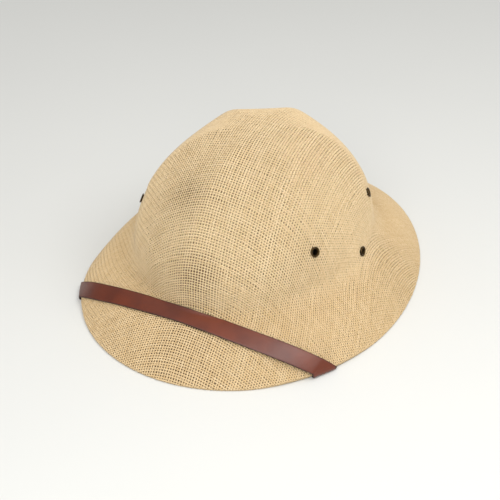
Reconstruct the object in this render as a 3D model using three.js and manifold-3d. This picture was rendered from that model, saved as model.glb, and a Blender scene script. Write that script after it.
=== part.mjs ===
// A sun helmet of woven straw cloth pressed over a stiff form: one shell with six ribs on its crown,
// six metal air eyelets, and a leather chin strap that lies over the front of the brim.
// Millimetres, +Z up. The front is -Y and the wearer's left is +X.
// The origin is on the surface that the brim rests on, under the middle of the brim.

import * as THREE from 'three';
import { mergeVertices } from 'three/addons/utils/BufferGeometryUtils.js';
import Module from 'manifold-3d';

// Driving sizes of the shell

const WALL = 2.2;
const RIM = { halfLength: 165, halfWidth: 127.4, frontFullness: 0.09, edgeHeight: 2, landWidth: 2.6 };
const BRIM = { arch: 4.5 };
const CREASE = {
  halfLength: 111, halfWidth: 99.1, y: -6.1, height: 33, sideRise: 1, frontReach: 5, sideReach: 10,
};
const COLLAR = { halfLength: 106.7, halfWidth: 90.1, y: -9.7, height: 50 };
const DOME = { height: 134, y: -5.2, roundness: 0.87, steepness: 1.29 };
const RIBS = { count: 6, softness: 3.5, crestShare: 0.49 };
const LEDGE = { frontHeight: 58.5, sideHeight: 82.5, frontTurn: 75, rise: 4.5 };
const PANEL_DEPTHS = [
  { height: 55, depth: 2.2 },
  { height: 82, depth: 2.6 },
  { height: 100, depth: 3.4 },
  { height: 118, depth: 3.6 },
  { height: 127, depth: 2.6 },
  { height: 134, depth: 0 },
];

// How finely the shell is divided: turns within one panel, and rows up each zone of the profile

const PANEL_TURNS = [0, 2.5, 6, 12, 18, 24, 30, 36, 42, 48, 54, 57.5];
const ZONES = { brim: 0, bend: 1, wall: 2, ledge: 3, dome: 4, top: 5 };
const ROWS_IN_ZONE = [
  { zone: 'brim', rows: 6 },
  { zone: 'bend', rows: 4 },
  { zone: 'wall', rows: 3 },
  { zone: 'ledge', rows: 2 },
  { zone: 'dome', rows: 9 },
];

// Driving sizes of the eyelets, one row for each on a side

const EYELET = {
  boreRadius: 2.5, barrelRadius: 3.2, flangeRadius: 3.95, clinchRadius: 3.9,
  flangeHeight: 0.75, clinchHeight: 0.6, gapInside: 0.6, holeRoom: 0.3, sides: 12,
};
const EYELETS = [
  { name: 'front', turn: 62.7, height: 71, gapOutside: 0.45 },
  { name: 'side', turn: 93.7, height: 46.5, gapOutside: 0.7 },
  { name: 'back', turn: 117, height: 74, gapOutside: 0.45 },
];

// Driving sizes of the strap and its route: how far round the helmet, how far in from the edge of the
// brim (on top where positive, underneath where negative), how far off the cloth, and how far the strap
// has slid to the wearer's left, which is the same way on both sides

const STRAP = {
  width: 14, thickness: 1.3, gap: 0.45, endHoleRadius: 2.5,
  step: 5, edgeStep: 0.7, edgeReach: 3, squareReach: 24,
  rimRoom: 1.8, rimTurn: 53, rimReach: 22, rimHold: 0.35,
};
const STRAP_ROUTE = [
  { turn: 0, inward: 53, lift: 0, slid: 1.4 },
  { turn: 12, inward: 50.1, lift: 0, slid: 1.4 },
  { turn: 23, inward: 43.1, lift: 0, slid: 1.4 },
  { turn: 32.5, inward: 33.7, lift: 0, slid: 1.4 },
  { turn: 41, inward: 21.5, lift: 0, slid: 1.4 },
  { turn: 48.5, inward: 8.4, lift: 0, slid: 1.4 },
  { turn: 52.5, inward: 0, lift: 0, slid: 1.4 },
  { turn: 56.5, inward: -10, lift: 0, slid: 1.4 },
  { turn: 62.5, inward: -27, lift: 0, slid: 1.1 },
  { turn: 66.5, inward: -42, lift: 0.3, slid: 0.5 },
  { turn: 69, inward: -54, lift: 1.9, slid: 0 },
  { turn: 70, inward: -62, lift: 1.9, slid: 0 },
  { turn: 71, inward: -70, lift: 1.9, slid: 0 },
];
const STUD = {
  stand: 0.8, baseRadius: 4.2, baseHeight: 0.8, postRadius: 1.7,
  headRadius: 3.8, headHeight: 1.2, headGap: 0.9, crownShare: 0.6, beforeEnd: 7, sides: 12,
};

const FINISHES = {
  straw: { color: 0xd2b27c, roughness: 0.85, metalness: 0 },
  leather: { color: 0x5c2a1c, roughness: 0.35, metalness: 0 },
  bronze: { color: 0x4a3d26, roughness: 0.4, metalness: 0.9 },
};

// Small steps and lengths that the functions below work with

const TURN_STEP = 0.5;
const RUN_STEP = 0.3;
const PLACE_STEP = 0.01;
const EDGE_PLACE = 0.05;
const FLAT_LAND_END = 0.02;
const WELD = 1e-4;
const CUTTER_LENGTH = 12;
const SEARCH_STEPS = 40;
const MERIDIAN_STEPS = 60;
const ROUTE_STEPS = 1500;
const ROUTE_MIDDLE = 0.5;
const AHEAD = 0.002;

const rad = THREE.MathUtils.degToRad;
const lerp = THREE.MathUtils.lerp;
const clamp = THREE.MathUtils.clamp;
const smooth = (value) => THREE.MathUtils.smoothstep(value, 0, 1);

function tableValue(table, key, column, at) {
  const next = table.findIndex((row) => row[key] >= at);
  if (next === 0) return table[0][column];
  if (next < 0) return table[table.length - 1][column];
  const [low, high] = [table[next - 1], table[next]];
  return THREE.MathUtils.mapLinear(at, low[key], high[key], low[column], high[column]);
}

// The outer face of the shell

function oval(turn, { halfLength, halfWidth, y = 0, frontFullness = 0 }, height) {
  const angle = rad(turn);
  const x = halfWidth * Math.sin(angle) * (1 + frontFullness * Math.cos(angle));
  return new THREE.Vector3(x, y - halfLength * Math.cos(angle), height);
}

// A turn counted from the front to either side, from 0 to 180
function turnFromFront(turn) {
  return Math.abs(THREE.MathUtils.euclideanModulo(turn + 180, 360) - 180);
}

// How far the edge of the brim is eased up where the strap goes round it, from 0 to 1
function strapEase(turn) {
  const away = Math.abs(turnFromFront(turn) - STRAP.rimTurn) / STRAP.rimReach;
  return 1 - smooth((away - STRAP.rimHold) / (1 - STRAP.rimHold));
}

function rimPoint(turn) {
  return oval(turn, RIM, RIM.edgeHeight + STRAP.rimRoom * strapEase(turn));
}

function creasePoint(turn) {
  return oval(turn, CREASE, CREASE.height - CREASE.sideRise * Math.cos(rad(2 * turn)));
}

function brimPoint(turn, inward) {
  const point = rimPoint(turn).lerp(creasePoint(turn), inward);
  point.z += BRIM.arch * 4 * inward * (1 - inward);
  return point;
}

// A point of the crown's smooth form at a height: a wall up to the collar, then the dome
function crownPoint(turn, height) {
  if (height > COLLAR.height) return domePoint(turn, domeLift(Math.min(height, DOME.height)));
  const crease = creasePoint(turn);
  const rise = clamp((height - crease.z) / (COLLAR.height - crease.z), 0, 1);
  return crease.lerp(oval(turn, COLLAR, height), 2 * rise - rise * rise).setZ(height);
}

// The lift is an angle: 0 at the collar and a right angle at the top
function domePoint(turn, lift) {
  const shrink = Math.max(Math.cos(lift), 0) ** DOME.roundness;
  const rise = Math.sin(lift) ** DOME.steepness;
  const point = oval(turn, { ...COLLAR, y: 0 }, 0).multiplyScalar(shrink);
  point.y += lerp(COLLAR.y, DOME.y, rise);
  return point.setZ(lerp(COLLAR.height, DOME.height, rise));
}

function domeLift(height) {
  const rise = (height - COLLAR.height) / (DOME.height - COLLAR.height);
  return Math.asin(rise ** (1 / DOME.steepness));
}

// The line under the panels, low at the front and back and high at the sides
function ledgeHeight(turn) {
  const round = turnFromFront(turn);
  const away = Math.min(round, 180 - round);
  const share = (1 - Math.cos(Math.PI * Math.min(away / LEDGE.frontTurn, 1))) / 2;
  return lerp(LEDGE.frontHeight, LEDGE.sideHeight, share);
}

// How flat the panel is here, from 0 on a rib's crest to 1 in the middle between two ribs
function panelShare(turn) {
  const half = 180 / RIBS.count;
  const away = half - Math.abs(THREE.MathUtils.euclideanModulo(turn, 2 * half) - half);
  const soft = (angle) => Math.hypot(angle, RIBS.softness) - RIBS.softness;
  const eased = (soft(away) / soft(half)) * half;
  const flat = Math.cos(rad(half));
  return (1 - flat / Math.cos(rad(half - eased))) / (1 - flat);
}

// Moves a point of the crown in or out by the ribs and panels
function withRelief(point, turn) {
  const above = smooth((point.z - ledgeHeight(turn)) / LEDGE.rise);
  const depth = tableValue(PANEL_DEPTHS, 'height', 'depth', point.z);
  const out = depth * (RIBS.crestShare - panelShare(turn)) * above;
  const outwards = point.clone().sub(new THREE.Vector3(0, COLLAR.y, COLLAR.height)).normalize();
  return point.clone().addScaledVector(outwards, out);
}

// How far the bend between brim and wall reaches along each of them
function bendReach(turn) {
  return lerp(CREASE.frontReach, CREASE.sideReach, Math.sin(rad(turn)) ** 2);
}

// A point of the outer face. The place runs from 0 at the edge of the brim to 5 at the top, and each
// zone of the profile is one unit of it.
function outerPoint(turn, place) {
  const zone = Math.min(Math.floor(place), ZONES.dome);
  const along = place - zone;
  const reach = bendReach(turn);
  const crease = creasePoint(turn);
  const bendStart = 1 - reach / rimPoint(turn).distanceTo(crease);
  const wallStart = crease.z + reach;
  const ledge = ledgeHeight(turn);
  if (zone === ZONES.brim) return brimPoint(turn, bendStart * along);
  if (zone === ZONES.bend) {
    const [foot, head] = [brimPoint(turn, bendStart), crownPoint(turn, wallStart)];
    return new THREE.QuadraticBezierCurve3(foot, crease, head).getPoint(along);
  }
  if (zone === ZONES.wall) return crownPoint(turn, lerp(wallStart, ledge, along));
  if (zone === ZONES.ledge) return withRelief(crownPoint(turn, ledge + LEDGE.rise * along), turn);
  const lift = lerp(domeLift(ledge + LEDGE.rise), Math.PI / 2, along);
  return withRelief(domePoint(turn, lift), turn);
}

function outerNormal(turn, place) {
  const round = outerPoint(turn + TURN_STEP, place).sub(outerPoint(turn - TURN_STEP, place));
  const low = outerPoint(turn, Math.max(place - PLACE_STEP, 0));
  const up = outerPoint(turn, Math.min(place + PLACE_STEP, ZONES.top)).sub(low);
  return round.cross(up).normalize();
}

// A point inside the wall, at a depth under the outer face
function wallPoint(turn, place, depth) {
  return outerPoint(turn, place).addScaledVector(outerNormal(turn, place), -depth);
}

// The way out over the edge of the brim, in line with its face
function edgeDirection(turn) {
  return outerPoint(turn, 0).sub(outerPoint(turn, EDGE_PLACE)).normalize();
}

// The shell's mesh

function allTurns() {
  const step = 360 / RIBS.count;
  const panels = Array.from({ length: RIBS.count }, (_, panel) => panel * step);
  return panels.flatMap((start) => PANEL_TURNS.map((turn) => start + turn));
}

function allPlaces() {
  return ROWS_IN_ZONE.flatMap(({ zone, rows }) =>
    Array.from({ length: rows }, (_, row) => ZONES[zone] + row / rows));
}

// A closed skin through rings of points that starts and ends at a pole
function ringSolid(startPole, rings, endPole) {
  const size = rings[0].length;
  const points = [startPole, ...rings.flat(), endPole];
  const last = points.length - 1;
  const faces = [];
  const at = (ring, column) => 1 + ring * size + (column % size);
  for (let column = 0; column < size; column += 1) {
    faces.push(0, at(0, column + 1), at(0, column));
    for (let ring = 0; ring < rings.length - 1; ring += 1) {
      const [a, b] = [at(ring, column), at(ring, column + 1)];
      const [c, d] = [at(ring + 1, column + 1), at(ring + 1, column)];
      faces.push(a, c, d, a, b, c);
    }
    faces.push(last, at(rings.length - 1, column), at(rings.length - 1, column + 1));
  }
  const geometry = new THREE.BufferGeometry().setFromPoints(points);
  geometry.setIndex(faces);
  return geometry;
}

// The flat land that the brim rests on; it narrows to a plain edge where the strap goes round
function landPoint(turn) {
  const rim = rimPoint(turn).setZ(0);
  const inwards = creasePoint(turn).sub(rim).setZ(0).normalize();
  const flat = rim.clone().addScaledVector(inwards, RIM.landWidth);
  const plain = outerPoint(turn, FLAT_LAND_END).addScaledVector(outerNormal(turn, 0), -WALL);
  return flat.lerp(plain, strapEase(turn));
}

// The foot of the brim's outer edge, rounded off where the strap goes round
function footPoint(turn) {
  const round = wallPoint(turn, 0, WALL / 2).addScaledVector(edgeDirection(turn), WALL / 2);
  return rimPoint(turn).setZ(0).lerp(round, strapEase(turn));
}

function shellGeometry() {
  const turns = allTurns();
  const places = allPlaces();
  const outer = places.map((place) => turns.map((turn) => outerPoint(turn, place)));
  const inner = places.slice(1).map((place) => turns.map((turn) => wallPoint(turn, place, WALL)));
  const rings = [...inner.reverse(), turns.map(landPoint), turns.map(footPoint), ...outer];
  const top = outerPoint(0, ZONES.top);
  return ringSolid(top.clone().setZ(top.z - WALL), rings, top);
}

// Joining and cutting of solids

const wasm = await Module();
wasm.setup();

function toSolid(geometry) {
  const plain = geometry.clone();
  plain.deleteAttribute('normal');
  plain.deleteAttribute('uv');
  const merged = mergeVertices(plain, WELD);
  return new wasm.Manifold(new wasm.Mesh({
    numProp: 3,
    vertProperties: new Float32Array(merged.attributes.position.array),
    triVerts: new Uint32Array(merged.index.array),
  }));
}

function toGeometry(solid) {
  const mesh = solid.getMesh();
  const geometry = new THREE.BufferGeometry();
  geometry.setAttribute('position', new THREE.BufferAttribute(mesh.vertProperties, 3));
  geometry.setIndex(new THREE.BufferAttribute(mesh.triVerts, 1));
  return geometry;
}

function cutFrom(geometry, cutters) {
  return toGeometry(cutters.reduce((solid, cutter) => solid.subtract(toSolid(cutter)), toSolid(geometry)));
}

// Where a piece stands on the shell: its foot on the outer face, turned so that its +Z points out

function placeAtHeight(turn, height) {
  let [low, high] = [ZONES.bend, ZONES.top];
  for (let step = 0; step < SEARCH_STEPS; step += 1) {
    const middle = (low + high) / 2;
    if (outerPoint(turn, middle).z < height) low = middle;
    else high = middle;
  }
  return low;
}

function standingOn(point, normal) {
  const turned = new THREE.Quaternion().setFromUnitVectors(new THREE.Vector3(0, 0, 1), normal);
  return new THREE.Matrix4().compose(point, turned, new THREE.Vector3(1, 1, 1));
}

function upright(geometry) {
  return geometry.rotateX(Math.PI / 2);
}

function cutterAt(seat, radius, sides) {
  return upright(new THREE.CylinderGeometry(radius, radius, CUTTER_LENGTH, sides)).applyMatrix4(seat);
}

function turned(profile, sides) {
  const points = profile.map(([radius, height]) => new THREE.Vector2(radius, height));
  return upright(new THREE.LatheGeometry(points, sides));
}

// Eyelets

// How far the shell's face rises above and falls below its tangent plane under an eyelet's flange
function faceSpread(turn, place) {
  const seat = outerPoint(turn, place);
  const normal = outerNormal(turn, place);
  const perTurn = seat.distanceTo(outerPoint(turn + TURN_STEP, place)) / TURN_STEP;
  const perPlace = seat.distanceTo(outerPoint(turn, place + PLACE_STEP)) / PLACE_STEP;
  const heights = Array.from({ length: EYELET.sides }, (_, side) => {
    const angle = (2 * Math.PI * side) / EYELET.sides;
    const round = EYELET.flangeRadius * Math.cos(angle);
    const up = EYELET.flangeRadius * Math.sin(angle);
    return outerPoint(turn + round / perTurn, place + up / perPlace).sub(seat).dot(normal);
  });
  return { rise: Math.max(0, ...heights), fall: Math.max(0, ...heights.map((height) => -height)) };
}

function eyeletGeometry({ rise, fall, gapOutside }) {
  const { boreRadius, barrelRadius, flangeRadius, clinchRadius } = EYELET;
  const foot = rise + gapOutside;
  const crown = foot + EYELET.flangeHeight;
  const back = -WALL - fall - EYELET.gapInside;
  const end = back - EYELET.clinchHeight;
  return turned([
    [boreRadius, end],
    [clinchRadius, end],
    [clinchRadius, back],
    [barrelRadius, back],
    [barrelRadius, foot],
    [flangeRadius, foot],
    [(flangeRadius + boreRadius) / 2, crown],
    [boreRadius, foot],
    [boreRadius, end],
  ], EYELET.sides);
}

function eyeletSeats() {
  const bothSides = EYELETS.flatMap((row) => [
    { ...row, side: 'left' },
    { ...row, side: 'right', turn: -row.turn },
  ]);
  return bothSides.map(({ name, side, turn, height, gapOutside }) => {
    const place = placeAtHeight(turn, height);
    return {
      name: `eyelet_${name}_${side}`,
      fit: { ...faceSpread(turn, place), gapOutside },
      seat: standingOn(outerPoint(turn, place), outerNormal(turn, place)),
    };
  });
}

// The strap. Its places follow the shell's own face, so that it lies on the brim and wraps round the edge.

// The way in along the outer face at one turn, with the place reached after each step of it
function meridian(turn) {
  const rows = [];
  let run = 0;
  let before = outerPoint(turn, 0);
  for (let step = 0; step <= MERIDIAN_STEPS; step += 1) {
    const place = (step / MERIDIAN_STEPS) * ZONES.ledge;
    const point = outerPoint(turn, place);
    run += point.distanceTo(before);
    before = point;
    rows.push({ run, place });
  }
  return rows;
}

// A point off the shell's face: run is the way in from the middle of the brim's edge, negative underneath
function skinPoint(turn, run, lift) {
  const round = WALL / 2;
  const edge = (Math.PI / 2) * round;
  if (Math.abs(run) < edge) {
    const angle = run / round;
    const [up, out] = [(round + lift) * Math.sin(angle), (round + lift) * Math.cos(angle)];
    return wallPoint(turn, 0, round - up).addScaledVector(edgeDirection(turn), out);
  }
  const place = tableValue(meridian(turn), 'run', 'place', Math.abs(run) - edge);
  return wallPoint(turn, place, run > 0 ? -lift : WALL + lift);
}

// The route as one smooth curve through both sides of the table, in turn, inward run and lift
function strapRoute() {
  const side = (sign) => STRAP_ROUTE.map(({ turn, inward, lift, slid }) =>
    new THREE.Vector3(sign * turn + slid, inward, lift));
  return new THREE.CatmullRomCurve3([...side(-1).slice(1).reverse(), ...side(1)], false, 'centripetal');
}

// Where the strap is divided: evenly along its length, and finely round the edge of the brim
function strapShares(route) {
  const shares = [];
  let owed = 0;
  let before = skinPoint(...route.getPoint(ROUTE_MIDDLE));
  for (let step = 1; step < ROUTE_STEPS; step += 1) {
    const share = lerp(ROUTE_MIDDLE, 1, step / ROUTE_STEPS);
    const row = route.getPoint(share);
    const here = skinPoint(...row);
    owed += here.distanceTo(before) / (Math.abs(row.y) < STRAP.edgeReach ? STRAP.edgeStep : STRAP.step);
    before = here;
    if (owed >= 1) {
      shares.push(share);
      owed = 0;
    }
  }
  const left = [...shares, 1];
  return [...left.map((share) => 1 - share).reverse(), ROUTE_MIDDLE, ...left];
}

// The strap's edges and middle at one share of its route. The line across them is square to the strap
// on the front of the brim and turns parallel to the edge of the brim where the strap goes round it.
// Lengths are measured along the skin, where the ways round and inwards are not square to each other.
function strapAcross(route, share) {
  const row = route.getPoint(share);
  const ahead = route.getPoint(Math.min(share + AHEAD, 1)).sub(route.getPoint(Math.max(share - AHEAD, 0)));
  const here = skinPoint(row.x, row.y, 0);
  const round = skinPoint(row.x + TURN_STEP, row.y, 0).sub(here);
  const inwards = skinPoint(row.x, row.y + RUN_STEP, 0).sub(here).normalize();
  const perTurn = round.length() / TURN_STEP;
  const slant = round.normalize().dot(inwards);
  const measure = (one, other) => one.dot(other) + slant * (one.x * other.y + one.y * other.x);
  const along = new THREE.Vector2(ahead.x * perTurn, ahead.y);
  const square = new THREE.Vector2(-(slant * along.x + along.y), along.x + slant * along.y);
  square.divideScalar(Math.sqrt(measure(square, square)));
  const level = new THREE.Vector2(Math.sign(square.x), 0);
  const nearEdge = 1 - smooth(Math.abs(row.y) / STRAP.squareReach);
  const across = square.clone().lerp(level, nearEdge);
  across.multiplyScalar(STRAP.width / 2 / measure(across, square));
  return [-1, 0, 1].map((side) =>
    new THREE.Vector3(row.x + (side * across.x) / perTurn, row.y + side * across.y, row.z));
}

function strapGeometry() {
  const route = strapRoute();
  const [near, far] = [STRAP.gap, STRAP.gap + STRAP.thickness];
  const rings = strapShares(route).map((share) => {
    const across = strapAcross(route, share);
    const face = (line, off) => line.map((edge) => skinPoint(edge.x, edge.y, edge.z + off));
    return [...face(across, near), ...face(across.slice().reverse(), far)];
  });
  const middle = ([, under, , , over]) => under.clone().lerp(over, 1 / 2);
  return ringSolid(middle(rings[0]), rings, middle(rings[rings.length - 1]));
}

// Studs at the ends of the strap

function studSeats() {
  const end = STRAP_ROUTE[STRAP_ROUTE.length - 1];
  return [['left', 1], ['right', -1]].map(([side, sign]) => {
    const [turn, run] = [sign * end.turn, end.inward + STUD.beforeEnd];
    const wall = skinPoint(turn, run, 0);
    const inwards = skinPoint(turn, run, 1).sub(wall).normalize();
    return { name: `strap_stud_${side}`, seat: standingOn(wall, inwards) };
  });
}

function studGeometry() {
  const { baseRadius, postRadius, headRadius } = STUD;
  const baseFoot = STUD.stand;
  const baseTop = baseFoot + STUD.baseHeight;
  const strapTop = STRAP_ROUTE[STRAP_ROUTE.length - 1].lift + STRAP.gap + STRAP.thickness;
  const headFoot = strapTop + STUD.headGap;
  const headTop = headFoot + STUD.headHeight;
  return turned([
    [0, baseFoot],
    [baseRadius, baseFoot],
    [baseRadius, baseTop],
    [postRadius, baseTop],
    [postRadius, headFoot],
    [headRadius, headFoot],
    [headRadius * STUD.crownShare, headTop],
    [0, headTop],
  ], STUD.sides);
}

// The helmet

function piece(name, geometry, finish, seat = new THREE.Matrix4()) {
  const mesh = new THREE.Mesh(geometry, new THREE.MeshStandardMaterial(FINISHES[finish]));
  mesh.name = name;
  mesh.applyMatrix4(seat);
  return mesh;
}

function helmet() {
  const group = new THREE.Group();
  const eyelets = eyeletSeats();
  const studs = studSeats();
  const holeRadius = EYELET.barrelRadius + EYELET.holeRoom;
  const eyeletHoles = eyelets.map(({ seat }) => cutterAt(seat, holeRadius, EYELET.sides));
  const strapHoles = studs.map(({ seat }) => cutterAt(seat, STRAP.endHoleRadius, STUD.sides));
  group.add(piece('helmet_shell', cutFrom(shellGeometry(), eyeletHoles), 'straw'));
  eyelets.forEach(({ name, fit, seat }) => group.add(piece(name, eyeletGeometry(fit), 'bronze', seat)));
  group.add(piece('chin_strap', cutFrom(strapGeometry(), strapHoles), 'leather'));
  studs.forEach(({ name, seat }) => group.add(piece(name, studGeometry(), 'bronze', seat)));
  return group;
}

export default helmet();
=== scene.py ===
"""The looks of a woven straw sun helmet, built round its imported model.

Lengths are millimetres in the classes below and become metres in the meshes. +Z is up, the front is -Y
and the wearer's left is +X. A turn is counted in degrees from the front towards the wearer's left, and a
run is a length along the skin from the top of the crown.
"""

import logging
import math
from collections.abc import Callable, Sequence
from dataclasses import dataclass, field
from enum import Enum

import bpy
import numpy as np
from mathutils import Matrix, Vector


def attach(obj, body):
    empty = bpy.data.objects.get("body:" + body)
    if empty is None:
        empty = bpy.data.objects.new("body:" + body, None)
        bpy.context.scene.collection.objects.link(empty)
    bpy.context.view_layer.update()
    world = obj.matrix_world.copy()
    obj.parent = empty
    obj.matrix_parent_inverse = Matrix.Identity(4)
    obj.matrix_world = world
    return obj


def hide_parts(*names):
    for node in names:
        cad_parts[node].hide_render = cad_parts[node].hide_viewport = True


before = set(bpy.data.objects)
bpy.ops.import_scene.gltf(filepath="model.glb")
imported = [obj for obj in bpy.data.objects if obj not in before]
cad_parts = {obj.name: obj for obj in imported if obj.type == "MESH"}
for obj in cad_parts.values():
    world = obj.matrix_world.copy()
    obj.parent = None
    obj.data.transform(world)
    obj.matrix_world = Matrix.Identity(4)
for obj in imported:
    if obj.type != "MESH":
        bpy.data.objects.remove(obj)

Array = np.ndarray
Socket = bpy.types.NodeSocket
Colour = tuple[float, float, float, float]

MM = 0.001
BODY = "root"
LAST_CELL = 1.001
NEARLY_ONE = 0.99
log = logging.getLogger("helmet")


class Slot(Enum):
    """The record's material slots."""

    STRAW = "straw_cloth"
    METAL = "eyelet_metal"
    LEATHER = "strap_leather"


class Way(Enum):
    """The two ways that strands of the cloth run."""

    WARP = "warp"
    WEFT = "weft"


def srgb(red: int, green: int, blue: int) -> Colour:
    """Turns a colour as seen on a screen into linear light.

    Args:
        red, green, blue: the screen's values, from 0 to 255.

    Returns:
        The colour with an alpha of 1.
    """
    parts = [value / 255 for value in (red, green, blue)]
    linear = [part / 12.92 if part <= 0.04045 else ((part + 0.055) / 1.055) ** 2.4 for part in parts]
    return (linear[0], linear[1], linear[2], 1.0)


def smooth(value: Array) -> Array:
    """An S-shaped ramp from 0 to 1."""
    inside = np.clip(value, 0.0, 1.0)
    return inside * inside * (3 - 2 * inside)


def mix(low: Array, high: Array, share: Array) -> Array:
    """The value at a share of the way from low to high."""
    return low + (high - low) * share


def unit(vectors: Array) -> Array:
    """Vectors of the same direction and a length of 1."""
    return vectors / np.maximum(np.linalg.norm(vectors, axis=-1, keepdims=True), 1e-12)


@dataclass(frozen=True)
class Oval:
    """A level egg-shaped ring round the helmet."""

    half_length: float
    half_width: float
    y: float = 0.0
    front_fullness: float = 0.0

    def point(self, turn: Array, height: Array) -> Array:
        """Places on the ring.

        Args:
            turn: turns in degrees.
            height: heights above the floor.

        Returns:
            Points, with the last axis for x, y and z.
        """
        angle = np.radians(turn)
        x = self.half_width * np.sin(angle) * (1 + self.front_fullness * np.cos(angle))
        y = self.y - self.half_length * np.cos(angle)
        return np.stack([x, y, np.broadcast_to(height, x.shape)], axis=-1)


@dataclass(frozen=True)
class HelmetForm:
    """The outer face of the shell as a function of the turn and the place on its profile.

    The place runs from 0 at the edge of the brim to 5 at the top, one zone for each unit: brim, bend, wall,
    ledge and dome.
    """

    wall: float = 2.2
    rim: Oval = Oval(165.0, 127.4, front_fullness=0.09)
    rim_height: float = 2.0
    land_width: float = 2.6
    brim_arch: float = 4.5
    crease: Oval = Oval(111.0, 99.1, y=-6.1)
    crease_height: float = 33.0
    crease_side_rise: float = 1.0
    bend_front: float = 5.0
    bend_side: float = 10.0
    collar: Oval = Oval(106.7, 90.1, y=-9.7)
    collar_height: float = 50.0
    top_height: float = 134.0
    top_y: float = -5.2
    roundness: float = 0.87
    steepness: float = 1.29
    ribs: int = 6
    rib_softness: float = 3.5
    crest_share: float = 0.49
    ledge_front: float = 58.5
    ledge_side: float = 82.5
    ledge_turn: float = 75.0
    ledge_rise: float = 4.5
    panel_heights: tuple[float, ...] = (55.0, 82.0, 100.0, 118.0, 127.0, 134.0)
    panel_depths: tuple[float, ...] = (2.2, 2.6, 3.4, 3.6, 2.6, 0.0)
    strap_room: float = 1.8
    strap_turn: float = 53.0
    strap_reach: float = 22.0
    strap_hold: float = 0.35
    zones: int = 5

    def from_front(self, turn: Array) -> Array:
        """The turn counted to either side of the front, from 0 to 180."""
        return np.abs((turn + 180) % 360 - 180)

    def strap_ease(self, turn: Array) -> Array:
        """How far the edge is eased up where the strap goes round it, from 0 to 1."""
        away = np.abs(self.from_front(turn) - self.strap_turn) / self.strap_reach
        return 1 - smooth((away - self.strap_hold) / (1 - self.strap_hold))

    def rim_point(self, turn: Array) -> Array:
        """The upper edge of the brim."""
        return self.rim.point(turn, self.rim_height + self.strap_room * self.strap_ease(turn))

    def crease_point(self, turn: Array) -> Array:
        """The line where the brim and the crown would meet without a bend."""
        height = self.crease_height - self.crease_side_rise * np.cos(np.radians(2 * turn))
        return self.crease.point(turn, height)

    def brim_point(self, turn: Array, inward: Array) -> Array:
        """Points of the brim.

        Args:
            turn: turns in degrees.
            inward: places across it, from 0 at its edge to 1 at the crease.

        Returns:
            The points.
        """
        point = mix(self.rim_point(turn), self.crease_point(turn), inward[..., None])
        point[..., 2] += self.brim_arch * 4 * inward * (1 - inward)
        return point

    def dome_lift(self, height: Array) -> Array:
        """The dome's angle at a height: 0 at the collar and a right angle at the top."""
        rise = np.clip((height - self.collar_height) / (self.top_height - self.collar_height), 0, 1)
        return np.arcsin(rise ** (1 / self.steepness))

    def dome_point(self, turn: Array, lift: Array) -> Array:
        """Points of the dome's smooth form.

        Args:
            turn: turns in degrees.
            lift: angles over the collar.

        Returns:
            The points.
        """
        shrink = np.maximum(np.cos(lift), 0) ** self.roundness
        rise = np.clip(np.sin(lift), 0, 1) ** self.steepness
        ring = self.collar.point(turn, 0.0)
        x = ring[..., 0] * shrink
        y = (ring[..., 1] - self.collar.y) * shrink + mix(self.collar.y, self.top_y, rise)
        return np.stack([x, y, mix(self.collar_height, self.top_height, rise)], axis=-1)

    def crown_point(self, turn: Array, height: Array) -> Array:
        """Points of the crown's smooth form.

        Args:
            turn: turns in degrees.
            height: heights above the floor.

        Returns:
            The points.
        """
        crease = self.crease_point(turn)
        foot = crease[..., 2]
        rise = np.clip((height - foot) / (self.collar_height - foot), 0, 1)
        wall = mix(crease, self.collar.point(turn, height), (2 * rise - rise * rise)[..., None])
        wall[..., 2] = height
        dome = self.dome_point(turn, self.dome_lift(height))
        return np.where((height > self.collar_height)[..., None], dome, wall)

    def ledge(self, turn: Array) -> Array:
        """The line under the panels.

        Args:
            turn: turns in degrees.

        Returns:
            Its heights.
        """
        round_ = self.from_front(turn)
        away = np.minimum(round_, 180 - round_)
        share = (1 - np.cos(np.pi * np.minimum(away / self.ledge_turn, 1))) / 2
        return mix(self.ledge_front, self.ledge_side, share)

    def panel_share(self, turn: Array) -> Array:
        """How flat the panels are.

        Args:
            turn: turns in degrees.

        Returns:
            Shares from 0 on a rib to 1 in the middle between two ribs.
        """
        half = 180 / self.ribs
        away = half - np.abs(turn % (2 * half) - half)
        full = math.hypot(half, self.rib_softness) - self.rib_softness
        eased = (np.hypot(away, self.rib_softness) - self.rib_softness) / full * half
        flat = math.cos(math.radians(half))
        return (1 - flat / np.cos(np.radians(half - eased))) / (1 - flat)

    def with_relief(self, point: Array, turn: Array) -> Array:
        """Moves points of the crown in or out by the ribs and panels.

        Args:
            point: the points.
            turn: their turns in degrees.

        Returns:
            The moved points.
        """
        above = smooth((point[..., 2] - self.ledge(turn)) / self.ledge_rise)
        depth = np.interp(point[..., 2], self.panel_heights, self.panel_depths)
        out = depth * (self.crest_share - self.panel_share(turn)) * above
        centre = np.array([0.0, self.collar.y, self.collar_height])
        return point + unit(point - centre) * out[..., None]

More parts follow.
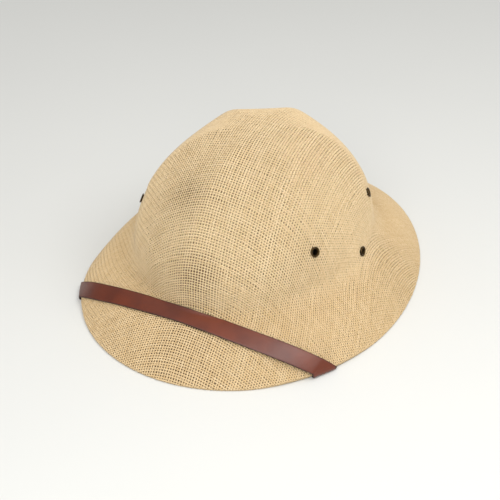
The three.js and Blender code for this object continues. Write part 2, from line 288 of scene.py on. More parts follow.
    def outer(self, turn: Array, place: Array) -> Array:
        """Points of the outer face.

        Args:
            turn: turns in degrees.
            place: places on the profile, from 0 to 5.

        Returns:
            Points, with the last axis for x, y and z.
        """
        turn, place = np.broadcast_arrays(np.asarray(turn, float), np.asarray(place, float))
        zone = np.clip(np.floor(place), 0, self.zones - 1)
        along = place - zone
        reach = mix(self.bend_front, self.bend_side, np.sin(np.radians(turn)) ** 2)
        crease = self.crease_point(turn)
        bend_start = 1 - reach / np.linalg.norm(self.rim_point(turn) - crease, axis=-1)
        wall_start = crease[..., 2] + reach
        ledge = self.ledge(turn)
        foot, head = self.brim_point(turn, bend_start), self.crown_point(turn, wall_start)
        share = along[..., None]
        bend = foot * (1 - share) ** 2 + crease * 2 * share * (1 - share) + head * share**2
        lift = mix(self.dome_lift(ledge + self.ledge_rise), np.pi / 2, along)
        zones = [
            self.brim_point(turn, bend_start * along),
            bend,
            self.crown_point(turn, mix(wall_start, ledge, along)),
            self.with_relief(self.crown_point(turn, ledge + self.ledge_rise * along), turn),
            self.with_relief(self.dome_point(turn, lift), turn),
        ]
        return np.select([(zone == index)[..., None] for index in range(self.zones)], zones)


@dataclass
class Skin:
    """The outer face unrolled from the top of the crown, with the brim's edge turned down at the end.

    A place on it is a turn and a run. The flat chart has x = run * sin(turn) and y = -run * cos(turn).
    """

    form: HelmetForm
    turn_step: float = 0.5
    run_step: float = 0.5
    edge_radius: float = 1.0
    spare: float = 14.0
    beyond: float = 30.0
    stretches: tuple[tuple[float, float, int], ...] = ((5.0, 4.0, 200), (4.0, 1.0, 240), (1.0, 0.0, 90))
    hem_below_rim: float = 0.95
    cloth_turn: float = 8.0
    points: Array = field(init=False)
    normals: Array = field(init=False)
    rim_run: Array = field(init=False)
    hem_run: Array = field(init=False)

    def __post_init__(self) -> None:
        """Tabulates points and normals over turns and runs."""
        turns = np.arange(-180, 180 + self.turn_step / 2, self.turn_step)
        stretches = [np.linspace(high, low, count) for high, low, count in self.stretches]
        places = np.concatenate([stretches[0], *(stretch[1:] for stretch in stretches[1:])])
        meridians = self.form.outer(turns[:, None], places[None, :])
        whole = np.concatenate([meridians, self._past_the_rim(meridians)], axis=1)
        lengths = np.linalg.norm(np.diff(whole, axis=1), axis=2)
        runs = np.concatenate([np.zeros((turns.size, 1)), np.cumsum(lengths, axis=1)], axis=1)
        self.rim_run = runs[:, places.size - 1]
        even = np.arange(0, self.rim_run.max() + self.spare, self.run_step)
        self.points = np.stack([
            np.stack([np.interp(even, run, line[:, axis]) for axis in range(3)], axis=-1)
            for run, line in zip(runs, whole)
        ])
        past = slice(places.size - 1, None)
        self.hem_run = np.array([
            np.interp(self.hem_below_rim, rim[2] - line[:, 2], run)
            for rim, line, run in zip(meridians[:, -1], whole[:, past], runs[:, past])
        ])
        self.normals = self._face_normals()

    def _past_the_rim(self, meridians: Array) -> Array:
        """The way on past the edge: a small bend, then straight down.

        Args:
            meridians: the lines from the top to the edge.

        Returns:
            The points that follow on each line.
        """
        rim, slope = meridians[:, -1], unit(meridians[:, -1] - meridians[:, -2])
        level = slope * np.array([1.0, 1.0, 0.0])
        start = np.arctan2(-slope[:, 2], np.linalg.norm(level, axis=1))
        steps = np.arange(1, int((self.spare + self.beyond) / self.run_step) + 1)
        angle = np.minimum(start[:, None] + (steps - 0.5) * self.run_step / self.edge_radius, np.pi / 2)
        out = np.cumsum(np.cos(angle), axis=1) * self.run_step
        down = np.cumsum(np.sin(angle), axis=1) * self.run_step
        points = rim[:, None, :] + unit(level)[:, None, :] * out[..., None]
        points[..., 2] -= down
        return points

    def _face_normals(self) -> Array:
        """Works out the table's normals from the points beside each.

        Returns:
            A unit normal for each point.
        """
        round_ = np.roll(self.points[:-1], -1, axis=0) - np.roll(self.points[:-1], 1, axis=0)
        round_ = np.concatenate([round_, round_[:1]])
        down = np.gradient(self.points, axis=1)
        normals = unit(np.cross(down, round_))
        normals[:, :2] = (0.0, 0.0, 1.0)
        return normals

    def _look_up(self, table: Array, turn: Array, run: Array) -> Array:
        """Reads a table between its entries.

        Args:
            table: values over turns and runs.
            turn, run: where to read it.

        Returns:
            The values there.
        """
        row = ((turn + 180) % 360) / self.turn_step
        column = np.clip(run / self.run_step, 0, table.shape[1] - LAST_CELL)
        i, j = np.minimum(row.astype(int), table.shape[0] - 2), column.astype(int)
        a, b = (row - i)[..., None], (column - j)[..., None]
        near = mix(table[i, j], table[i, j + 1], b)
        far = mix(table[i + 1, j], table[i + 1, j + 1], b)
        return mix(near, far, a)

    def point(self, turn: Array, run: Array) -> Array:
        """Points of the face at turns and runs."""
        return self._look_up(self.points, np.asarray(turn, float), np.asarray(run, float))

    def normal(self, turn: Array, run: Array) -> Array:
        """Normals of the face at turns and runs."""
        return unit(self._look_up(self.normals, np.asarray(turn, float), np.asarray(run, float)))

    def rim_at(self, turn: Array) -> Array:
        """The run at which the edge of the brim is reached."""
        turns = np.arange(-180, 180 + self.turn_step / 2, self.turn_step)
        return np.interp((np.asarray(turn) + 180) % 360 - 180, turns, self.rim_run)

    def hem_at(self, turn: Array) -> Array:
        """The run at which the cloth ends under the edge of the brim."""
        turns = np.arange(-180, 180 + self.turn_step / 2, self.turn_step)
        return np.interp((np.asarray(turn) + 180) % 360 - 180, turns, self.hem_run)

    def polar(self, chart: Array) -> tuple[Array, Array]:
        """Turns and runs of places on the flat chart."""
        return np.degrees(np.arctan2(chart[..., 0], -chart[..., 1])), np.hypot(chart[..., 0], chart[..., 1])

    def chart_point(self, chart: Array) -> Array:
        """Points of the face at places on the flat chart."""
        return self.point(*self.polar(chart))

    def turned(self, flat: Array, sign: int) -> Array:
        """Turns flat places by the angle between the cloth's strands and the helmet.

        Args:
            flat: the places.
            sign: 1 to turn them, -1 to turn them back.

        Returns:
            The turned places.
        """
        angle = math.radians(self.cloth_turn) * sign
        across, along = flat[..., 0], flat[..., 1]
        return np.stack([across * math.cos(angle) - along * math.sin(angle),
                         across * math.sin(angle) + along * math.cos(angle)], axis=-1)

    def cloth_place(self, points: Array, runs: Array) -> Array:
        """Where a point is in cloth that is laid over the crown from the top without a fold.

        Args:
            points: points of the face.
            runs: their runs.

        Returns:
            The lengths across and along the cloth, from the top.
        """
        level = self.turned(points[..., :2] - (0.0, self.form.top_y), -1)
        x, y = level[..., 0], level[..., 1]
        radius = np.maximum(np.hypot(x, y), 1e-6)
        spare = np.maximum(runs, 1e-6) / radius - 1
        return np.stack([x * (1 + spare * (x / radius) ** 2), y * (1 + spare * (y / radius) ** 2)], axis=-1)


@dataclass(frozen=True)
class Wander:
    """Slow changes along many strands, each its own, from a seed."""

    seed: int
    reach: float
    lengths: tuple[float, ...] = (96.0, 43.0, 21.0)

    def along(self, strands: int, run: Array) -> Array:
        """The change at each run of each strand.

        Args:
            strands: how many strands.
            run: the lengths at which it is wanted.

        Returns:
            Values around 0, a row for each strand.
        """
        draw = np.random.default_rng(self.seed)
        total = np.zeros((strands, run.size))
        for length in self.lengths:
            phase = draw.uniform(0, 2 * np.pi, (strands, 1))
            stretch = draw.uniform(0.7, 1.3, (strands, 1))
            total += draw.normal(0, 1, (strands, 1)) * np.sin(2 * np.pi * run / (length * stretch) + phase)
        return self.reach * total / math.sqrt(len(self.lengths) / 2)


@dataclass
class ClothNet:
    """The crossings of the strands, laid over the skin so that their spacing stays even."""

    skin: Skin
    warp_pitch: float = 2.05
    weft_pitch: float = 2.05
    laying_rounds: int = 60
    easing_rounds: int = 160
    laying_gain: float = 0.8
    easing_gain: float = 1.6
    shear_hold: float = 0.12
    probe: float = 0.5
    drift: float = 0.12
    seeds: tuple[int, int] = (11, 12)
    chart: Array = field(init=False)
    alive: Array = field(init=False)

    def __post_init__(self) -> None:
        """Lays the net, evens it out and lets its strands wander."""
        reach = self.skin.rim_run.max() + self.skin.spare / 2
        across = np.arange(-round(reach / self.warp_pitch), round(reach / self.warp_pitch) + 1)
        along = np.arange(-round(reach / self.weft_pitch), round(reach / self.weft_pitch) + 1)
        u, v = np.meshgrid(across * self.warp_pitch, along * self.weft_pitch, indexing="ij")
        self.chart = self._lay(np.stack([u, v], axis=-1))
        turn, run = self.skin.polar(self.chart)
        self.alive = run < self.skin.rim_at(turn) + self.skin.spare / 2
        self._even_out()
        warp = Wander(self.seeds[0], self.drift).along(u.shape[0], v[0])
        weft = Wander(self.seeds[1], self.drift).along(u.shape[1], u[:, 0])
        self.chart += self.skin.turned(np.stack([warp, weft.T], axis=-1), 1)

    def _lay(self, wanted: Array) -> Array:
        """Finds the chart places that lie at the wanted places of the cloth.

        Args:
            wanted: lengths across and along the cloth.

        Returns:
            Places on the flat chart.
        """
        chart = self.skin.turned(wanted, 1)
        for _ in range(self.laying_rounds):
            turn, run = self.skin.polar(chart)
            points = self.skin.point(turn, run)
            inside = run < self.skin.rim_run.max() + self.skin.spare
            error = wanted - self.skin.cloth_place(points, run)
            chart += self.laying_gain * self.skin.turned(error, 1) * inside[..., None]
        return chart

    def _even_out(self) -> None:
        """Moves the crossings along the skin until neighbours are a pitch apart."""
        slant = math.hypot(self.warp_pitch, self.weft_pitch)
        ties = [
            ((1, 0), self.warp_pitch, 1.0),
            ((0, 1), self.weft_pitch, 1.0),
            ((1, 1), slant, self.shear_hold),
            ((1, -1), slant, self.shear_hold),
        ]
        for _ in range(self.easing_rounds):
            points = self.skin.chart_point(self.chart)
            push, weight = np.zeros_like(points), np.full(points.shape[:2], 1e-6)
            for (di, dj), rest, hold in ties:
                here, there = self._pair(di, dj)
                step = points[there] - points[here]
                length = np.maximum(np.linalg.norm(step, axis=-1, keepdims=True), 1e-6)
                held = (self.alive[here] & self.alive[there]) * hold
                pull = step * (0.5 * (length - rest) / length) * held[..., None]
                push[here] += pull
                push[there] -= pull
                weight[here] += held
                weight[there] += held
            self.chart += self._on_chart(points, push / weight[..., None] * self.easing_gain)

    def _pair(self, di: int, dj: int) -> tuple[tuple[slice, slice], tuple[slice, slice]]:
        """Pairs each crossing with its neighbour at an offset.

        Args:
            di, dj: the offset across and along.

        Returns:
            The slices of the crossings and of their neighbours.
        """
        rows, columns = self.chart.shape[:2]
        low, high = (slice(0, columns - dj), slice(dj, columns)) if dj >= 0 else (
            slice(-dj, columns), slice(0, columns + dj))
        return (slice(0, rows - di), low), (slice(di, rows), high)

    def _on_chart(self, points: Array, push: Array) -> Array:
        """Turns pushes in space into moves on the flat chart.

        Args:
            points: where the crossings are.
            push: how each should move.

        Returns:
            The moves on the chart, at most half a pitch long.
        """
        step = self.probe
        east = (self.skin.chart_point(self.chart + (step, 0.0)) - points) / step
        north = (self.skin.chart_point(self.chart + (0.0, step)) - points) / step
        ee, nn = (east * east).sum(-1) + 1e-6, (north * north).sum(-1) + 1e-6
        en = (east * north).sum(-1)
        pe, pn = (east * push).sum(-1), (north * push).sum(-1)
        base = np.maximum(ee * nn - en * en, 1e-4)
        move = np.stack([(pe * nn - pn * en) / base, (pn * ee - pe * en) / base], axis=-1)
        return np.clip(move, -self.weft_pitch / 2, self.weft_pitch / 2)

    def openness(self) -> Array:
        """How square the strands cross.

        Returns:
            The sine of the angle between them at each crossing.
        """
        points = self.skin.chart_point(self.chart)
        warp = unit(np.gradient(points, axis=1))
        weft = unit(np.gradient(points, axis=0))
        return np.clip(np.linalg.norm(np.cross(warp, weft), axis=-1), 0.2, 1.0)


def shape_mesh(name: str, points: Array, faces: Array, sizes: Array | None = None) -> bpy.types.Object:
    """Makes a smooth-shaded mesh object.

    Args:
        name: the piece's name.
        points: its points in millimetres.
        faces: corner numbers, four for each face, or all in one row if sizes are given.
        sizes: how many corners each face has.

    Returns:
        The new object, linked to the scene.
    """
    corners = np.asarray(faces).ravel()
    sizes = np.full(len(faces), 4) if sizes is None else np.asarray(sizes)
    mesh = bpy.data.meshes.new(name)
    mesh.vertices.add(len(points))
    mesh.vertices.foreach_set("co", (np.asarray(points) * MM).astype(np.float32).ravel())
    mesh.loops.add(corners.size)
    mesh.loops.foreach_set("vertex_index", corners.astype(np.int32))
    mesh.polygons.add(sizes.size)
    starts = np.concatenate([[0], np.cumsum(sizes)[:-1]])
    mesh.polygons.foreach_set("loop_start", starts.astype(np.int32))
    mesh.update(calc_edges=True)
    mesh.polygons.foreach_set("use_smooth", np.ones(sizes.size, bool))
    mesh.validate()
    piece = bpy.data.objects.new(name, mesh)
    bpy.context.scene.collection.objects.link(piece)
    return piece


def paint(piece: bpy.types.Object, name: str, values: Array) -> None:
    """Stores a number or three numbers at each point of a piece, for its material.

    Args:
        piece: the object.
        name: the attribute's name.
        values: one row for each point.
    """
    kind, key = ("FLOAT_VECTOR", "vector") if values.ndim == 2 else ("FLOAT", "value")
    attribute = piece.data.attributes.new(name, kind, "POINT")
    attribute.data.foreach_set(key, values.astype(np.float32).ravel())


def hand_over(piece: bpy.types.Object, slot: Slot, *nodes: str) -> None:
    """Lets a piece ride with the helmet and hides the nodes that it stands for.

    Args:
        piece: the object.
        slot: the record's material slot. Not used.
        nodes: names of the nodes that it replaces.
    """
    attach(piece, BODY)
    if nodes:
        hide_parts(*nodes)
    log.info("piece %s: %d points, %d faces", piece.name, len(piece.data.vertices), len(piece.data.polygons))


class Bench:
    """A node tree with short ways to add nodes and join them."""

    def __init__(self, tree: bpy.types.NodeTree) -> None:
        """Takes the tree and empties it."""
        self.tree = tree
        tree.nodes.clear()

    def add(self, kind: str, inputs: dict[str | int, object] | None = None,
            **settings: object) -> bpy.types.Node:
        """Adds a node.

        Args:
            kind: the node's type.
            inputs: a value or a socket for each named input.
            settings: the node's own settings.

        Returns:
            The node.
        """
        node = self.tree.nodes.new(kind)
        for name, value in settings.items():
            setattr(node, name, value)
        for name, value in (inputs or {}).items():
            if isinstance(value, bpy.types.NodeSocket):
                self.tree.links.new(value, node.inputs[name])
            else:
                node.inputs[name].default_value = value
        return node

    def maths(self, operation: str, first: object, second: object = 0.0) -> Socket:
        """A sum, product or other operation on numbers.

        Args:
            operation: its name.
            first, second: numbers or sockets.

        Returns:
            The result's socket.
        """
        return self.add("ShaderNodeMath", {0: first, 1: second}, operation=operation).outputs[0]

    def ramp(self, value: Socket, low: float, high: float, to_low: float = 0.0,
             to_high: float = 1.0) -> Socket:
        """Stretches a range of a value to another, and stops at its ends.

        Args:
            value: the socket to read.
            low, high: its range.
            to_low, to_high: the range that it becomes.

        Returns:
            The result's socket.
        """
        inputs = {"Value": value, 1: low, 2: high, 3: to_low, 4: to_high}
        return self.add("ShaderNodeMapRange", inputs).outputs[0]

    def blend(self, share: object, first: object, second: object) -> Socket:
        """A colour between two others.

        Args:
            share: how much of the second.
            first, second: colours or sockets.

        Returns:
            The colour's socket.
        """
        node = self.add("ShaderNodeMix", data_type="RGBA")
        for index, value in ((0, share), (6, first), (7, second)):
            if isinstance(value, bpy.types.NodeSocket):
                self.tree.links.new(value, node.inputs[index])
            else:
                node.inputs[index].default_value = value
        return node.outputs[2]


def make_group(name: str, inputs: Sequence[tuple[str, str, object]], outputs: Sequence[tuple[str, str]],
               fill: Callable[[Bench, bpy.types.Node], dict[str, Socket]]) -> bpy.types.NodeTree:
    """Makes a shader node group with named sockets.

    Args:
        name: the group's name.
        inputs: name, socket type and usual value of each input.
        outputs: name and socket type of each output.
        fill: adds the nodes and returns the socket for each output.

    Returns:
        The group.
    """
    tree = bpy.data.node_groups.new(name, "ShaderNodeTree")
    bench = Bench(tree)
    for label, kind, usual in inputs:
        socket = tree.interface.new_socket(label, in_out="INPUT", socket_type=kind)
        if usual is not None:
            socket.default_value = usual
    for label, kind in outputs:
        tree.interface.new_socket(label, in_out="OUTPUT", socket_type=kind)
    results = fill(bench, bench.add("NodeGroupInput"))
    end = bench.add("NodeGroupOutput")
    for label, socket in results.items():
        tree.links.new(socket, end.inputs[label])
    return tree


def mottle_group() -> bpy.types.NodeTree:
    """Soft blotches and fine specks, for stained, dyed or cast surfaces.

    Returns:
        The group.
    """

    def fill(bench: Bench, given: bpy.types.Node) -> dict[str, Socket]:
        """Adds two noises of different scale.

        Args:
            bench: the group's bench.
            given: its input node.

        Returns:
            The socket for each output.
        """
        broad = bench.add("ShaderNodeTexNoise", {
            "Vector": given.outputs["Place"], "Scale": given.outputs["Broad Scale"], "Detail": 4.0})
        fine = bench.add("ShaderNodeTexNoise", {
            "Vector": given.outputs["Place"], "Scale": given.outputs["Fine Scale"], "Detail": 6.0,
            "Roughness": 0.65})
        return {
            "Blotches": bench.ramp(broad.outputs["Fac"], 0.35, 0.65),
            "Specks": bench.ramp(fine.outputs["Fac"], 0.3, 0.7),
        }

    return make_group(
        "mottle",
        [("Place", "NodeSocketVector", None), ("Broad Scale", "NodeSocketFloat", 30.0),
         ("Fine Scale", "NodeSocketFloat", 400.0)],
        [("Blotches", "NodeSocketFloat"), ("Specks", "NodeSocketFloat")], fill)


def plain_weave_group() -> bpy.types.NodeTree:
    """Strands that pass over and under each other, for cloth that is too hidden to be modelled.

    Returns:
        The group.
    """

    def fill(bench: Bench, given: bpy.types.Node) -> dict[str, Socket]:
        """Adds the two sets of strands as waves.

        Args:
            bench: the group's bench.
            given: its input node.

        Returns:
            The socket for each output.
        """
        place = bench.add("ShaderNodeSeparateXYZ", {"Vector": given.outputs["Place"]})
        u = bench.maths("DIVIDE", place.outputs["X"], given.outputs["Warp Pitch"])
        v = bench.maths("DIVIDE", place.outputs["Y"], given.outputs["Weft Pitch"])
        warp, weft = (
            bench.ramp(bench.maths("COSINE", bench.maths("MULTIPLY", side, 2 * math.pi)), -0.75, 0.6)
            for side in (u, v))
        check = bench.maths("MULTIPLY", bench.maths("COSINE", bench.maths("MULTIPLY", u, math.pi)),
                            bench.maths("COSINE", bench.maths("MULTIPLY", v, math.pi)))
        over = bench.ramp(check, -0.5, 0.5)
        top = bench.maths("MAXIMUM", bench.maths("MULTIPLY", warp, over),
                          bench.maths("MULTIPLY", weft, bench.maths("SUBTRACT", 1.0, over)))
        low = bench.maths("MULTIPLY", bench.maths("MAXIMUM", warp, weft), 0.55)
        return {"Height": bench.maths("MAXIMUM", top, low), "Gap": bench.maths(
            "SUBTRACT", 1.0, bench.maths("MAXIMUM", warp, weft))}

    return make_group(
        "plain_weave",
        [("Place", "NodeSocketVector", None), ("Warp Pitch", "NodeSocketFloat", 2.05),
         ("Weft Pitch", "NodeSocketFloat", 2.05)],
        [("Height", "NodeSocketFloat"), ("Gap", "NodeSocketFloat")], fill)


def rubbed_group() -> bpy.types.NodeTree:
    """Where edges that stand out are rubbed, broken up by specks.

    Returns:
        The group.
    """

    def fill(bench: Bench, given: bpy.types.Node) -> dict[str, Socket]:
        """Multiplies the edges by the specks."""
        worn = bench.maths("MULTIPLY", given.outputs["Edge"], bench.ramp(given.outputs["Specks"], 0.2, 0.9))
        return {"Rubbed": bench.ramp(worn, 0.15, 0.75)}

    return make_group(
        "rubbed_edges", [("Edge", "NodeSocketFloat", 0.0), ("Specks", "NodeSocketFloat", 0.5)],
        [("Rubbed", "NodeSocketFloat")], fill)


@dataclass
class Groups:
    """The shared node groups, made once."""

    mottle: bpy.types.NodeTree = field(default_factory=mottle_group)
    weave: bpy.types.NodeTree = field(default_factory=plain_weave_group)
    rubbed: bpy.types.NodeTree = field(default_factory=rubbed_group)


def new_material(name: str) -> tuple[bpy.types.Material, Bench]:
    """Makes an empty material.

    Args:
        name: its name.

    Returns:
        The material and its bench.
    """
    material = bpy.data.materials.new(name)
    material.use_nodes = True
    return material, Bench(material.node_tree)


def close_material(bench: Bench, inputs: dict[str, object], height: Socket, depth: float) -> None:
    """Adds the shader, the bump and the output.

    Args:
        bench: the material's bench.
        inputs: the shader's inputs.
        height: the relief, from 0 to 1.
        depth: the relief's depth in millimetres.
    """
    bump = bench.add("ShaderNodeBump", {"Height": height, "Distance": depth * MM, "Strength": 1.0})
    shader = bench.add("ShaderNodeBsdfPrincipled", {**inputs, "Normal": bump.outputs["Normal"]})
    bench.add("ShaderNodeOutputMaterial", {"Surface": shader.outputs["BSDF"]})


@dataclass(frozen=True)
class StrawStrand:
    """Flat twisted strands of pale natural straw."""

    name: str
    light: Colour = srgb(239, 215, 174)
    dark: Colour = srgb(207, 175, 125)
    shade: Colour = srgb(136, 97, 50)
    roughness: float = 0.78
    sheen: float = 0.15
    bump_depth: float = 0.12

    def build(self, groups: Groups) -> bpy.types.Material:
        """Makes the material.

        Args:
            groups: the shared node groups.

        Returns:
            The material.
        """
        material, bench = new_material(self.name)
        place = bench.add("ShaderNodeAttribute", attribute_name="strand_place").outputs["Vector"]
        tone = bench.add("ShaderNodeAttribute", attribute_name="strand_tone").outputs["Fac"]
        depth = bench.add("ShaderNodeAttribute", attribute_name="strand_depth").outputs["Fac"]
        drawn = bench.add("ShaderNodeVectorMath", {0: place, 1: (0.35, 7.0, 5.0)}, operation="MULTIPLY")
        fibres = bench.add("ShaderNodeTexNoise", {
            "Vector": drawn.outputs["Vector"], "Scale": 1.0, "Detail": 5.0, "Roughness": 0.6})
        streaks = bench.ramp(fibres.outputs["Fac"], 0.32, 0.68)
        spots = bench.add("ShaderNodeGroup", {"Place": place, "Broad Scale": 0.06, "Fine Scale": 1.4},
                          node_tree=groups.mottle)
        share = bench.maths("ADD", bench.maths("MULTIPLY", streaks, 0.45),
                            bench.maths("MULTIPLY", tone, 0.75))
        share = bench.maths("SUBTRACT", share, bench.maths("MULTIPLY", spots.outputs["Specks"], 0.2))
        straw = bench.blend(bench.ramp(share, 0.0, 1.0), self.dark, self.light)
        colour = bench.blend(bench.ramp(depth, 0.0, 0.45, 0.85, 0.0), straw, self.shade)
        rough = bench.ramp(streaks, 0.0, 1.0, self.roughness + 0.1, self.roughness - 0.08)
        close_material(bench, {
            "Base Color": colour, "Roughness": rough, "Sheen Weight": self.sheen, "Sheen Roughness": 0.5,
            "Specular IOR Level": 0.25,
        }, streaks, self.bump_depth)
        return material


@dataclass(frozen=True)
class FormBacking:
    """The stiff form under the cloth, coloured dark brown as painted shade where it shows between the
    strands.
    """

    name: str = "form_backing_painted_shade"
    light: Colour = srgb(108, 77, 41)
    dark: Colour = srgb(76, 51, 26)
    roughness: float = 0.9
    bump_depth: float = 0.25

    def build(self, groups: Groups) -> bpy.types.Material:
        """Makes the material.

        Args:
            groups: the shared node groups.

        Returns:
            The material.
        """
        material, bench = new_material(self.name)
        place = bench.add("ShaderNodeAttribute", attribute_name="cloth_place").outputs["Vector"]
        spots = bench.add("ShaderNodeGroup", {"Place": place, "Broad Scale": 0.08, "Fine Scale": 1.1},
                          node_tree=groups.mottle)
        # Painted shade: the form's dark browns stand for the shade in the gaps between the strands, mottled
        # in blotches.
        colour = bench.blend(spots.outputs["Blotches"], self.dark, self.light)
        rough = bench.ramp(spots.outputs["Specks"], 0.0, 1.0, self.roughness - 0.1, self.roughness)
        close_material(bench, {"Base Color": colour, "Roughness": rough, "Specular IOR Level": 0.2},
                       spots.outputs["Specks"], self.bump_depth)
        return material


@dataclass(frozen=True)
class PlainLining:
    """The bare inner face, where the same straw cloth shows through the form."""

    name: str = "inner_straw"
    light: Colour = srgb(226, 200, 156)
    dark: Colour = srgb(188, 152, 102)
    # The gap colour is painted shade between the strands.
    gap: Colour = srgb(122, 90, 54)
    roughness: float = 0.85
    bump_depth: float = 0.5

    def build(self, groups: Groups) -> bpy.types.Material:
        """Makes the material.

        Args:
            groups: the shared node groups.

        Returns:
            The material.
        """
        material, bench = new_material(self.name)
        place = bench.add("ShaderNodeAttribute", attribute_name="cloth_place").outputs["Vector"]
        weave = bench.add("ShaderNodeGroup", {"Place": place}, node_tree=groups.weave)
        spots = bench.add("ShaderNodeGroup", {"Place": place, "Broad Scale": 0.05, "Fine Scale": 0.9},
                          node_tree=groups.mottle)
        # Painted shade: the straw is darker where the weave lies low, and the gap colour darkens the gaps
        # between the strands.
        share = bench.maths("ADD", bench.maths("MULTIPLY", spots.outputs["Blotches"], 0.4),
                            bench.maths("MULTIPLY", weave.outputs["Height"], 0.6))
        straw = bench.blend(share, self.dark, self.light)
        colour = bench.blend(bench.ramp(weave.outputs["Gap"], 0.2, 0.8), straw, self.gap)
        rough = bench.ramp(spots.outputs["Specks"], 0.0, 1.0, self.roughness - 0.1, self.roughness)
        close_material(bench, {"Base Color": colour, "Roughness": rough, "Specular IOR Level": 0.25},
                       weave.outputs["Height"], self.bump_depth)
        return material


@dataclass(frozen=True)
class StrapLeather:
    """Smooth polished leather, reddish brown with darker edges."""

    name: str = "strap_leather"
    body: Colour = srgb(105, 42, 14)
    deep: Colour = srgb(86, 32, 10)
    edge: Colour = srgb(44, 17, 7)
    roughness: float = 0.3
    specular: float = 0.6
    bump_depth: float = 0.04

    def build(self, groups: Groups) -> bpy.types.Material:
        """Makes the material.

        Args:
            groups: the shared node groups.

        Returns:
            The material.
        """
        material, bench = new_material(self.name)
        place = bench.add("ShaderNodeTexCoord").outputs["Object"]
        edge = bench.add("ShaderNodeAttribute", attribute_name="edge").outputs["Fac"]
        spots = bench.add("ShaderNodeGroup", {"Place": place, "Broad Scale": 45.0, "Fine Scale": 900.0},
                          node_tree=groups.mottle)
        rubbed = bench.add("ShaderNodeGroup", {"Edge": edge, "Specks": spots.outputs["Specks"]},
                           node_tree=groups.rubbed)
        pores = bench.add("ShaderNodeTexVoronoi", {"Vector": place, "Scale": 1400.0},
                          feature="DISTANCE_TO_EDGE")
        grain = bench.ramp(pores.outputs["Distance"], 0.0, 0.25)
        body = bench.blend(spots.outputs["Blotches"], self.deep, self.body)
        colour = bench.blend(bench.maths("MAXIMUM", rubbed.outputs["Rubbed"], bench.ramp(edge, 0.5, 1.0)),
                             body, self.edge)
        scuffed = bench.ramp(spots.outputs["Specks"], 0, 1, self.roughness, self.roughness + 0.1)
        rough = bench.maths("ADD", scuffed, bench.maths("MULTIPLY", edge, 0.25))
        relief = bench.maths("ADD", bench.maths("MULTIPLY", grain, 0.6),
                             bench.maths("MULTIPLY", spots.outputs["Specks"], 0.4))
        close_material(bench, {
            "Base Color": colour, "Roughness": rough, "Specular IOR Level": self.specular,
        }, relief, self.bump_depth)
        return material


@dataclass(frozen=True)
class AntiqueBronze:
    """Darkened bronze, brighter where its edges are rubbed."""

    name: str = "antique_bronze"
    bright: Colour = srgb(128, 102, 62)
    body: Colour = srgb(72, 56, 32)
    dark: Colour = srgb(34, 25, 14)
    roughness: float = 0.38
    bump_depth: float = 0.04

    def build(self, groups: Groups) -> bpy.types.Material:
        """Makes the material.

        Args:
            groups: the shared node groups.

        Returns:
            The material.
        """
        material, bench = new_material(self.name)
        place = bench.add("ShaderNodeTexCoord").outputs["Object"]
        edge = bench.add("ShaderNodeAttribute", attribute_name="edge").outputs["Fac"]
        spots = bench.add("ShaderNodeGroup", {"Place": place, "Broad Scale": 350.0, "Fine Scale": 1500.0},
                          node_tree=groups.mottle)
        rubbed = bench.add("ShaderNodeGroup", {"Edge": edge, "Specks": spots.outputs["Specks"]},
                           node_tree=groups.rubbed)
        body = bench.blend(spots.outputs["Blotches"], self.dark, self.body)
        colour = bench.blend(rubbed.outputs["Rubbed"], body, self.bright)
        rough = bench.ramp(spots.outputs["Specks"], 0, 1, self.roughness, self.roughness + 0.22)
        metal = bench.ramp(spots.outputs["Blotches"], 0, 1, 0.75, 1.0)
        close_material(bench, {"Base Color": colour, "Roughness": rough, "Metallic": metal},
                       spots.outputs["Specks"], self.bump_depth)
        return material


@dataclass(frozen=True)
class LooseSpot:
    """A place where the cloth is stretched and its strands leave wider gaps."""

    turn: float
    height: float
    reach: float
    share: float

    def thinning(self, skin: Skin, points: Array) -> Array:
        """How much narrower the strands are round the spot.

        Args:
            skin: the outer face.
            points: where it is wanted.

        Returns:
            A share of the width for each point.
        """
        runs = np.arange(0, skin.rim_run.max(), 1.0)
        line = skin.point(np.full(runs.shape, self.turn), runs)
        centre = line[np.abs(line[:, 2] - self.height).argmin()]
        away = np.linalg.norm(points - centre, axis=-1) / self.reach
        return self.share * np.exp(-away * away)


